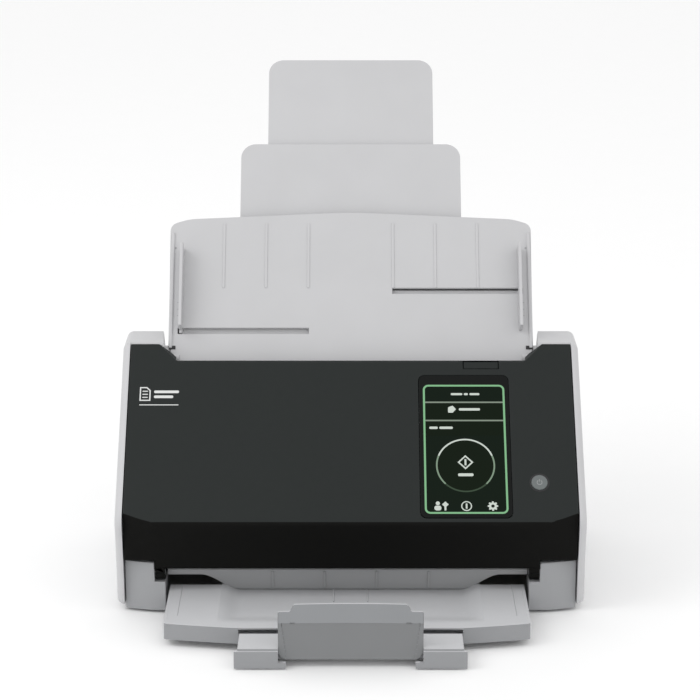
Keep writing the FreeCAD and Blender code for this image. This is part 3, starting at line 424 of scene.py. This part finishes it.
# Casing ---------------------------------------------------------------------------------------
HOLLOW_FLOOR = 6
FOLD_ABOVE_FOOT = 45


def casing():
    """The outer shells. The base is painted in shade: a darker copy of the casing grey, and a darker one
    still on its inner floor.
    """
    for node in ("left_side_cover", "right_side_cover"):
        refined(node, 0)
    refined("rear_cover", 0.45, 3)
    # Painted shade: the base takes a darker copy of the casing grey.
    base = refined("base_casing", 0.45, 3, "shaded_base_and_mark_grey")
    # Painted shade on the inner floor of the hollow.
    base.data.materials.append(MATERIALS["hollow_shade_grey"])
    for polygon in base.data.polygons:
        if polygon.normal.z > 0.9 and polygon.center.z < HOLLOW_FLOOR * MM:
            polygon.material_index = 1
    refined("rubber_feet", 0.5)


# Front cover ----------------------------------------------------------------------------------
def front_cover():
    """The sloping cover. Faces that look down take a darker colour, which is painted shade, and a duller
    sheen.
    """
    cover = refined("front_cover", 0.5, 3)
    # Painted shade: the lower faces that look forwards and down take the darker charcoal.
    cover.data.materials.append(MATERIALS["cover_underside_shade"])
    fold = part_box("front_cover")[0].z + FOLD_ABOVE_FOOT * MM
    for polygon in cover.data.polygons:
        faces_front = polygon.normal.y < -0.5
        if faces_front and polygon.normal.z < 0.5 and polygon.center.z < fold:
            polygon.material_index = 1


# Touch screen, in the face's frame ------------------------------------------------------------
SCREEN_LEFT, SCREEN_RIGHT, SCREEN_LOW, SCREEN_HIGH = 46.4, 98.8, 6.9, 98.1
SCREEN_MIDDLE = (SCREEN_LEFT + SCREEN_RIGHT) / 2
GLASS_LOW, GLASS_HIGH, GLASS_CORNER = (43.8, 4.2), (101.4, 105.0), 4
GLASS_TOP, GLASS_DEPTH = 0.1, 1.6
INLAY = 0.03
BORDER, SCREEN_CORNER = 1.25, 3.6


def screen_piece(name, outlines, finish, layer=1):
    """Flat lit shapes that lie on the glass."""
    bm = bmesh.new()
    low = GLASS_TOP + INLAY * (layer - 1)
    for outline in outlines:
        add_prism(bm, outline, low, low + INLAY)
    return make_piece(name, bm, FACE, "cover", "screen_module", finish)


def screen_band(name, pairs, finish, layer=2, closed=True):
    bm = bmesh.new()
    low = GLASS_TOP + INLAY * (layer - 1)
    for outer, inner in pairs:
        add_band(bm, outer, inner, low, low + INLAY, "Z", closed)
    return make_piece(name, bm, FACE, "cover", "screen_module", finish)


def greeked_line(left, up, words, height=1.5, gap=1.0):
    """A line of plain rounded bars that stands for words."""
    bars = []
    for length in words:
        bars.append(box_outline((left, up - height / 2), (left + length, up + height / 2), height * 0.45))
        left += length + gap
    return bars


def touch_panel():
    bm = bmesh.new()
    add_prism(bm, box_outline(GLASS_LOW, GLASS_HIGH, GLASS_CORNER), -GLASS_DEPTH, GLASS_TOP)
    make_piece(
        "touch_panel", bm, FACE, "cover", "screen_glass", bevel=0.25, segments=2,
        replaces=("touch_panel_glass",),
    )


def screen_border():
    outer = box_outline((SCREEN_LEFT, SCREEN_LOW), (SCREEN_RIGHT, SCREEN_HIGH), SCREEN_CORNER)
    inner = box_outline(
        (SCREEN_LEFT + BORDER, SCREEN_LOW + BORDER), (SCREEN_RIGHT - BORDER, SCREEN_HIGH - BORDER),
        SCREEN_CORNER - BORDER,
    )
    screen_band("screen_border", [(outer, inner)], "screen_green")
    screen_piece("screen_ground", [inner], "screen_ground")
    panels = [
        box_outline((SCREEN_LEFT + BORDER + 0.3, bottom), (SCREEN_RIGHT - BORDER - 0.3, top), 0.3)
        for bottom, top in ((72.6, 85.0), (61.6, 71.9))
    ]
    screen_piece("screen_panels", panels, "screen_panel", 2)
    lines = [
        box_outline((SCREEN_LEFT + BORDER, up - 0.5), (SCREEN_RIGHT - BORDER, up + 0.5), 0.2)
        for up in (85.4, 72.3)
    ]
    screen_piece("screen_dividers", lines, "screen_rule", 3)


def screen_words():
    bars = greeked_line(SCREEN_MIDDLE - 8.3, 91.3, (7.4, 2.6, 6.4))
    bars += greeked_line(69.2, 80.3, (13.6,), 1.7)
    bars += greeked_line(50.1, 67.1, (5.4, 8.6), 1.7)
    bars += greeked_line(SCREEN_MIDDLE - 4.9, 33.9, (9.8,), 2.0)
    screen_piece("screen_word_bars", bars, "screen_white", 3)


def screen_ring():
    """The big start key: a ring that fades towards its foot, with a start sign inside."""
    centre, radius = (SCREEN_MIDDLE, 40.5), 18.7
    screen_piece("screen_key", [disc_outline(centre, radius - 1, 72)], "screen_panel", 2)
    arcs = (
        ("screen_ring_top", 22, 136, "screen_white"),
        ("screen_ring_sides", -45, 270, "screen_line"),
        ("screen_ring_foot", 0, 360, "screen_dim"),
    )
    for layer, (name, start, sweep, finish) in zip((5, 4, 3), arcs):
        pair = (
            disc_outline(centre, radius, 64, start, sweep),
            disc_outline(centre, radius - 1.0, 64, start, sweep),
        )
        screen_band(name, [pair], finish, layer, sweep == 360)
    middle = (SCREEN_MIDDLE, 42.7)
    outer = disc_outline(middle, 5.0, 4)
    inner = disc_outline(middle, 3.7, 4)
    screen_band("screen_start_sign", [(outer, inner)], "screen_white", 3)
    bar = box_outline((middle[0] - 0.6, middle[1] - 2.2), (middle[0] + 0.6, middle[1] + 2.2), 0.3)
    screen_piece("screen_start_bar", [bar], "screen_white", 3)


def gear_outline(centre, tip, root, teeth=8):
    points = []
    for tooth in range(teeth):
        for turn, radius in ((-0.32, root), (-0.2, tip), (0.2, tip), (0.32, root)):
            angle = 2 * math.pi * (tooth + turn) / teeth
            points.append((centre[0] + radius * math.cos(angle), centre[1] + radius * math.sin(angle)))
    return points


def screen_icons():
    """A page sign beside the mode bar, and person, about and settings signs along the foot."""
    page = (64.7, 80.4)
    sheet = rounded(
        [(page[0] - 2.4, page[1] - 2.5, 0.6), (page[0] + 0.6, page[1] - 2.5), (page[0] + 2.7, page[1]),
         (page[0] + 0.6, page[1] + 2.6), (page[0] - 2.4, page[1] + 1.4, 1.2)]
    )
    screen_piece("screen_page_sign", [sheet], "screen_white", 3)
    up = 12.2
    person = [
        disc_outline((54.6, up + 1.9), 1.3, 20),
        box_outline((52.4, up - 3), (56.8, up + 0.3), 1.5),
        disc_outline((59.3, up + 1.1), 2.1, 4),
        box_outline((58.7, up - 3), (59.9, up + 0.6), 0.3),
    ]
    screen_piece("screen_person_sign", person, "screen_white", 3)
    about = (SCREEN_MIDDLE, up)
    ring = (disc_outline(about, 3.4, 36), disc_outline(about, 2.7, 36))
    cog = (89.1, up)
    screen_band("screen_about_ring", [ring], "screen_white", 3)
    bar = box_outline((about[0] - 0.55, up - 1.8), (about[0] + 0.55, up + 1.8), 0.3)
    screen_piece("screen_about_bar", [bar], "screen_white", 3)
    hole_radius = 1.1
    teeth = gear_outline(cog, 3.3, 2.5)
    bearings = [math.atan2(y - cog[1], x - cog[0]) for x, y in teeth]
    hole = [
        (cog[0] + hole_radius * math.cos(angle), cog[1] + hole_radius * math.sin(angle))
        for angle in bearings
    ]
    screen_band("screen_settings_sign", [(teeth, hole)], "screen_white", 3)


# Keys and marks on the cover, in the face's frame ---------------------------------------------
BUTTON = (118.9, 28.5)


def power_button():
    """A dished key with a rolled rim, a printed power sign and a black ring round its seat, which is
    painted shade for the gap round the key.
    """
    radius = 5.15
    bm = bmesh.new()
    profile = [
        (0, -3.6), (radius, -3.6), (radius, 0.25), (radius - 0.12, 0.5), (radius - 0.4, 0.68),
        (radius - 0.8, 0.7), (radius - 1.4, 0.6), (radius - 2.6, 0.45), (0, 0.38),
    ]
    add_turned(bm, profile, BUTTON, 56)
    make_piece("power_key", bm, FACE, "power_key", "key_grey", replaces=("power_button",))
    bm = bmesh.new()
    pair = [disc_outline(BUTTON, r, 30, -240, 300) for r in (1.75, 1.35)]
    add_band(bm, *pair, 0.4, 0.47, "Z", False)
    x, up = BUTTON
    add_prism(bm, box_outline((x - 0.2, up + 0.5), (x + 0.2, up + 2.2), 0.1), 0.4, 0.52)
    make_piece("power_sign", bm, FACE, "power_key", "key_grey", "sign_grey")
    bm = bmesh.new()
    # Painted shade: a black ring standing a little above the face where the gap round the key shows dark.
    add_band(bm, disc_outline(BUTTON, 6.3, 56), disc_outline(BUTTON, 5.3, 56), -0.6, 0.14)
    make_piece("power_key_shade_ring", bm, FACE, "cover", "cover_charcoal", "frame_black", 0.1)


def emblem():
    """A plain printed sign: a sheet with a turned corner over two bars and an underline."""
    bm = bmesh.new()
    thick = (0.0, 0.05)
    left, up = -135.6, 86.5
    outer = [(left, up), (left + 7, up), (left + 7, up + 7.6), (left + 4.6, up + 10), (left, up + 10)]
    inner = [
        (left + 0.8, up + 0.8), (left + 6.2, up + 0.8), (left + 6.2, up + 7.3),
        (left + 4.3, up + 9.2), (left + 0.8, up + 9.2),
    ]
    add_band(bm, outer, inner, *thick)
    ruling = left + 1.7
    for low in (up + 6.6, up + 4.4, up + 2.2):
        add_prism(bm, box_outline((ruling, low), (ruling + 3.6, low + 0.7), 0.3), *thick)
    bars = left + 9.2
    for low, reach in ((up + 5.6, 16), (up + 2.0, 12.4)):
        add_prism(bm, box_outline((bars, low), (bars + reach, low + 1.9), 0.8), *thick)
    add_prism(bm, box_outline((left, up - 3.2), (left + 25.2, up - 2.6), 0.25), *thick)
    make_piece("emblem", bm, FACE, "cover", "cover_charcoal", "print_white")


def release_lever():
    refined("release_lever", 0.12, 2)


# Stacker --------------------------------------------------------------------------------------
LEFT_HALF, RIGHT_HALF = 114.7, 110.3
TRAY_CORNER, TRAY_BOW, SLOT_HALF = -130.5, -137.5, 68.3
TRAY_TOP, TRAY_LIP, TRAY_LOW, TRAY_BACK = 10, 15.1, 4.5, -30
WING_HALF, WING_BACK, TROUGH_HALF = 82, -67, 70.5
LIP_DEPTH = 2.4
RAMP_START, RAMP_END = 7.5, 31
BED_THICKNESS = 1.3


def soft_step(share):
    share = min(max(share, 0), 1)
    return share * share * (3 - 2 * share)


def tray_half(side):
    return RIGHT_HALF if side > 0 else LEFT_HALF


def tray_front(x):
    """How far forward the tray reaches at a given distance from its middle."""
    share = max(abs(x) - SLOT_HALF, 0) / (tray_half(x) - SLOT_HALF)
    return TRAY_BOW + (TRAY_CORNER - TRAY_BOW) * share ** 1.15


def tray_height(x, y):
    """A trough between two high wings, which climbs to a lip along its front edge."""
    high = TRAY_LIP - 0.15
    wing = soft_step((abs(x) - TROUGH_HALF) / (WING_HALF - TROUGH_HALF))
    ahead = 1 - soft_step((y - tray_front(x) - RAMP_START) / (RAMP_END - RAMP_START))
    return TRAY_TOP + (high - TRAY_TOP) * max(wing, ahead)


def tray_bed(bm, left, right, back, rows=44, spans=48):
    """One slab of the bed between two sides, with its rows closer along the front edge."""
    columns = [left + (right - left) * index / spans for index in range(spans + 1)]

    def skin(i, j, is_top):
        x = columns[j]
        front = tray_front(x)
        y = front + (back - front) * (i / (rows - 1)) ** 1.6
        top = tray_height(x, y)
        return (x, y, top if is_top else top - BED_THICKNESS)

    add_sheet(
        bm, rows, len(columns), lambda i, j: skin(i, j, True), lambda i, j: skin(i, j, False)
    )


def tray_side(bm, side):
    """The lip along the front edge beside the slot, the outer wall and two wear ribs."""
    steps = 10
    half = tray_half(side)
    lip = [
        (side * half, TRAY_CORNER + 7),
        (side * half, TRAY_CORNER + 1.8), (side * (half - 0.5), TRAY_CORNER + 0.7),
        (side * (half - 1.8), TRAY_CORNER + 0.1),
    ]
    for step in range(1, steps + 1):
        x = half - 1.8 + (SLOT_HALF - half + 1.8) * step / steps
        lip.append((side * x, tray_front(side * x)))
    lip.append((side * SLOT_HALF, TRAY_BOW + LIP_DEPTH))
    for step in range(1, steps):
        x = SLOT_HALF + (half - 3 - SLOT_HALF) * step / steps
        lip.append((side * x, tray_front(side * x) + LIP_DEPTH))
    lip.append((side * (half - 2.4), TRAY_CORNER + 7))
    add_prism(bm, lip, TRAY_LOW, TRAY_LIP)
    wall = sorted((side * (half - 2), side * half))
    outline = box_outline((wall[0], TRAY_LOW + 0.7), (wall[1], TRAY_LIP - 0.03), 0.2)
    add_prism(bm, outline, TRAY_CORNER + 6.5, WING_BACK, "Y")
    ridge = sorted((side * (half - 8.3), side * (half - 7.7)))
    outline = box_outline((ridge[0], -118), (ridge[1], WING_BACK), 0.2)
    add_prism(bm, outline, TRAY_LIP - 0.5, TRAY_LIP - 0.02)
    x = side * 10.7
    add_prism(bm, box_outline((x - 0.4, -84), (x + 0.4, -34), 0.3), TRAY_TOP - 0.4, TRAY_TOP + 0.5)


def stacker_tray():
    bm = bmesh.new()
    tray_bed(bm, -WING_HALF, WING_HALF, TRAY_BACK)
    for side in (1, -1):
        low, high = sorted((side * (WING_HALF - 0.5), side * (tray_half(side) - 1.5)))
        tray_bed(bm, low, high, WING_BACK)
        tray_side(bm, side)
    bed = make_piece(
        "stacker_bed", bm, CASE, "tray", "tray_grey", bevel=0.3, segments=2,
        replaces=("stacker_tray",),
    )
    # Painted shade on the bed's forward-facing faces.
    paint_front_shade(bed, "front_face_shade_grey")


STOPPER_HIGH, STOPPER_CROWN, CROWN_HALF = 40.6, 0.4, 33
SHOULDER_HIGH, SHOULDER_START, SHOULDER_CORNER, CORNER_START = 35.9, 37, 1.2, 42.3
FOOT_LOW, FOOT_CURVE_START, FOOT_CURVE, FOOT_RISE = 5.0, 38.2, 5.2, 6.0
STOPPER_FACE, STOPPER_CREASE, STOPPER_LEAN = -163.5, 29, 0.24
HOLLOW_BOTTOM, HOLLOW_DEPTH, HOLLOW_TURN = 4.2, 1.5, 0.72
HINGE_LINE, KNUCKLE_RADIUS, KNUCKLE_HOLE = (-158.5, 10.7), 2.4, 1.55
KNUCKLE_MIDDLE, KNUCKLE_HALF = 25.85, 3.85


def stopper_top(x):
    """The stopper's crowned upper edge, with a soft step down to flat shoulders."""
    across = abs(x)
    crown_end = STOPPER_HIGH - STOPPER_CROWN
    if across < CROWN_HALF:
        return STOPPER_HIGH - STOPPER_CROWN * (across / CROWN_HALF) ** 2
    if across < SHOULDER_START:
        share = (across - CROWN_HALF) / (SHOULDER_START - CROWN_HALF)
        return crown_end - (crown_end - SHOULDER_HIGH) * soft_step(share)
    if across < CORNER_START:
        return SHOULDER_HIGH
    drop = SHOULDER_CORNER ** 2 - (across - CORNER_START) ** 2
    return SHOULDER_HIGH - SHOULDER_CORNER + math.sqrt(max(drop, 0))


def stopper_foot(x):
    """Its lower edge, curving up at both ends."""
    across = abs(x)
    if across < FOOT_CURVE_START:
        return FOOT_LOW
    share = min((across - FOOT_CURVE_START) / FOOT_CURVE, 1)
    return FOOT_LOW + FOOT_RISE * (1 - math.sqrt(max(1 - share * share, 0)))


def stopper_front(z):
    """How deep the stopper's face stands: hollow below the crease, leaning back above it."""
    if z > STOPPER_CREASE:
        return STOPPER_FACE + (z - STOPPER_CREASE) * STOPPER_LEAN
    share = (STOPPER_CREASE - z) / (STOPPER_CREASE - HOLLOW_BOTTOM)
    return STOPPER_FACE + HOLLOW_DEPTH * math.sin(share * math.pi * HOLLOW_TURN)


def paper_stopper():
    """A curved flap with a raised rim down both sides and two hinge knuckles.

    Its grid is closer where the upper edge steps down and where the ends curve.
    """
    rows, thickness, rim = 64, 1.3, 0.5
    halves = [2.0 * index for index in range(17)]
    halves += [33 + 0.4 * index for index in range(11)]
    halves += [37.6 + 0.35 * index for index in range(14)]
    halves += [42.5, 42.8, 43.05, 43.25, 43.38, 43.45]
    columns = [-half for half in halves[:0:-1]] + halves

    def skin(i, j, depth):
        x = columns[j]
        low, high = stopper_foot(x), stopper_top(x)
        z = low + (high - low) * i / (rows - 1)
        is_hollow = depth == 0 and abs(x) < 38.5 + (z - 4.7) * 0.12 and z < STOPPER_CREASE
        return (x, stopper_front(z) + depth + (rim if is_hollow else 0), z)

    bm = bmesh.new()
    add_sheet(
        bm, rows, len(columns), lambda i, j: skin(i, j, 0), lambda i, j: skin(i, j, thickness)
    )
    flap = make_piece("stopper_flap", bm, CASE, "stopper", "tray_grey", "stopper_shade_grey", 0.3, 2)
    # Painted shade and light: the flap is a darker copy of the tray grey, up-facing faces keep the true
    # tray grey, and the band that leans back takes a lighter copy.
    flap.data.materials.append(MATERIALS["tray_grey"])
    flap.data.materials.append(MATERIALS["stopper_band_light"])
    for polygon in flap.data.polygons:
        if polygon.normal.z > 0.6:
            polygon.material_index = 1
        elif polygon.normal.y < -0.5 and polygon.normal.z > 0.15:
            polygon.material_index = 2
    bm = bmesh.new()
    knuckle = disc_outline(HINGE_LINE, KNUCKLE_RADIUS, 24)
    hole = disc_outline(HINGE_LINE, KNUCKLE_HOLE, 24)
    web = [(-161.0, 9.0), (-159.6, 9.0), (-159.6, 12.4), (-161.0, 12.4)]
    for side in (1, -1):
        middle = side * KNUCKLE_MIDDLE
        ends = (middle - KNUCKLE_HALF, middle + KNUCKLE_HALF)
        add_band(bm, knuckle, hole, *ends, "X")
        add_prism(bm, web, *ends, "X")
    # The knuckles take the darker stopper copy as painted shade.
    knuckles = make_piece("stopper_knuckles", bm, CASE, "stopper", "tray_grey", "stopper_shade_grey", 0.15)
    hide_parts("paper_stopper")


def stacker():
    stacker_tray()
    # Painted shade on the extension's forward-facing faces.
    paint_front_shade(refined("stacker_extension", 0), "front_face_shade_grey")
    paper_stopper()


# Chute ----------------------------------------------------------------------------------------
def chute():
    refined("chute_back_cover", 0)
    for node in ("chute_plate", "left_side_guide", "right_side_guide"):
        refined(node, 0.4, 2)
    for node in ("lower_chute_extension", "upper_chute_extension"):
        refined(node, 0.35, 2)


def chute_marks():
    """Raised rims and wear strips, size ticks, dimples painted as darker raised dots, and black pads
    beside the hinge that paint the shade of its openings.
    """
    bm = bmesh.new()
    for side in (1, -1):
        x = side * 113.2
        for up in (24.6, 29.1, 33.7):
            add_prism(bm, box_outline((x - 1.1, up - 0.2), (x + 1.1, up + 0.2), 0.1), -0.02, 0.05)
        # The dimples are raised discs in the darker grey: painted shade.
        add_prism(bm, disc_outline((side * 116.2, 72.2), 0.75, 20), -0.02, 0.06)
    make_piece("chute_ticks", bm, CHUTE, "chute", "casing_grey", "shaded_base_and_mark_grey")
    bm = bmesh.new()
    for side in (1, -1):
        low, high = sorted((side * 114.7, side * 119.2))
        add_prism(bm, box_outline((low, 1.2), (high, 3.6), 0.3), -0.3, 0.5)
    # Painted shade: black blocks for the dark openings beside the hinge.
    make_piece("chute_hinge_shade_pads", bm, CHUTE, "chute", "casing_grey", "frame_black", 0.1)
    bm = bmesh.new()
    for x in (-84, -56, -28, 28, 56, 84):
        add_prism(bm, box_outline((x - 0.8, 44), (x + 0.8, 90), 0.7), -0.3, 0.5)
    make_piece("chute_ribs", bm, CHUTE, "chute", "casing_grey", bevel=0.2)


# Paper path and drive -------------------------------------------------------------------------
GUIDE_LEFT, GUIDE_RIGHT = -116, 112.1
GUIDE_TOP, GUIDE_NOSE = (-66.2, 28.2), (-70.1, 26.2)
GUIDE_LOW, GUIDE_END_LOW = 10.7, 22.4


SWEEP_START, SWEEP_END = 71, 95
RIB_HALF = 0.6


def guide_edge(x):
    """The exit guide's lower edge: low in the middle and swept up to thin ends."""
    share = soft_step((abs(x) - SWEEP_START) / (SWEEP_END - SWEEP_START))
    return GUIDE_LOW + (GUIDE_END_LOW - GUIDE_LOW) * share


def exit_guide():
    """A nosed plate under the cover that turns the sheets down to the stacker."""
    spans = 116
    columns = [GUIDE_LEFT + (GUIDE_RIGHT - GUIDE_LEFT) * index / spans for index in range(spans + 1)]
    nose, low_depth = GUIDE_NOSE, -64
    over = [(-59.4, 30.9), (-62.8, 29.6), GUIDE_TOP, (-69.2, 27.0), nose]
    under = [(-58.8, 28.8), (-61.6, 27.7), (-64.2, 26.6), (-65.8, 25.6), (-66.4, 24.8)]
    steps = 12

    def skin(i, j, is_front):
        x = columns[j]
        line = over if is_front else under
        if i < len(line):
            return (x, *line[i])
        share = (i - len(line) + 1) / steps
        low = guide_edge(x)
        slope = (low_depth - nose[0]) / (nose[1] - GUIDE_LOW)
        z = nose[1] - (nose[1] - low) * share
        y = nose[0] + (nose[1] - z) * slope
        if is_front:
            return (x, y, z)
        thickness = 3.2 - 0.8 * share
        return (x, max(y + thickness, line[-1][0]), min(z, line[-1][1]))

    bm = bmesh.new()
    rows = len(over) + steps
    add_sheet(
        bm, rows, len(columns), lambda i, j: skin(i, j, True), lambda i, j: skin(i, j, False)
    )
    rib = [(-70.5, 25), (-64.8, 11), (-63.4, 11), (-69, 25)]
    for x in (-49.5, -16.5, 16.5, 49.5):
        add_prism(bm, rib, x - RIB_HALF, x + RIB_HALF, "X")
    make_piece(
        "exit_guide_skin", bm, CASE, BODY_OF["exit_guide"], SLOT_OF["exit_guide"], bevel=0.2,
        replaces=("exit_guide",),
    )


def paper_path():
    exit_guide()
    refined("feed_guide_plate", 0.3, 2)
    refined("cover_inner_guide", 0.3, 2)


def bare_nodes():
    """Inner parts keep their CAD shape and take a finish."""
    for node, part in frame["nodes"].items():
        finish = MATERIALS[SLOT_OF[node]]
        if part.data.materials:
            for index in range(len(part.material_slots)):
                part.material_slots[index].material = finish
        else:
            part.data.materials.append(finish)


# Stage ----------------------------------------------------------------------------------------
def area_light(name, place, target, size, power):
    data = bpy.data.lights.new(name, "AREA")
    data.shape = "RECTANGLE"
    data.size, data.size_y = size
    data.energy = power
    lamp = bpy.data.objects.new(name, data)
    lamp.location = place
    lamp.rotation_euler = (Vector(target) - Vector(place)).to_track_quat("-Z", "Y").to_euler()
    bpy.context.scene.collection.objects.link(lamp)


def stage():
    scene = bpy.context.scene
    scene.view_settings.view_transform = "Standard"
    world = bpy.data.worlds.new("studio")
    world.use_nodes = True
    world.node_tree.nodes["Background"].inputs["Color"].default_value = (1, 1, 1, 1)
    world.node_tree.nodes["Background"].inputs["Strength"].default_value = 1.0
    scene.world = world
    for name, side, power in (("left_softbox", -1, 6), ("right_softbox", 1, 1.2)):
        area_light(name, (side * 1.2, -0.5, 1.35), (0, 0, 0.1), (0.9, 0.9), power)
    reach, corner, thickness = 9000, 800, 20
    bm = bmesh.new()
    add_prism(bm, box_outline((-reach, -reach), (reach, reach), corner), -thickness, 0)
    mesh = bpy.data.meshes.new("floor")
    bmesh.ops.recalc_face_normals(bm, faces=bm.faces)
    bm.to_mesh(mesh)
    bm.free()
    mesh.transform(Matrix.Scale(MM, 4))
    floor = bpy.data.objects.new("floor", mesh)
    scene.collection.objects.link(floor)
    paper = moulded(
        "floor_paper", (0.94, 0.94, 0.94), 0.8, grain=0.01, pitch=3, mottling=0.005,
        Specular_IOR_Level=0.1,
    )
    mesh.materials.append(paper)


def camera():
    data = bpy.data.cameras.new("camera")
    data.lens = 118.85
    data.sensor_width = 36
    data.clip_end = 50
    data.shift_x = -0.001
    data.shift_y = 0.0013
    eye = bpy.data.objects.new("camera", data)
    eye.location = (0, -1.427, 0.5705)
    eye.rotation_euler = (math.radians(73.7), 0, 0)
    bpy.context.scene.collection.objects.link(eye)
    bpy.context.scene.camera = eye


bare_nodes()
casing()
front_cover()
touch_panel()
screen_border()
screen_words()
screen_ring()
screen_icons()
power_button()
emblem()
release_lever()
stacker()
chute()
chute_marks()
paper_path()
stage()
camera()
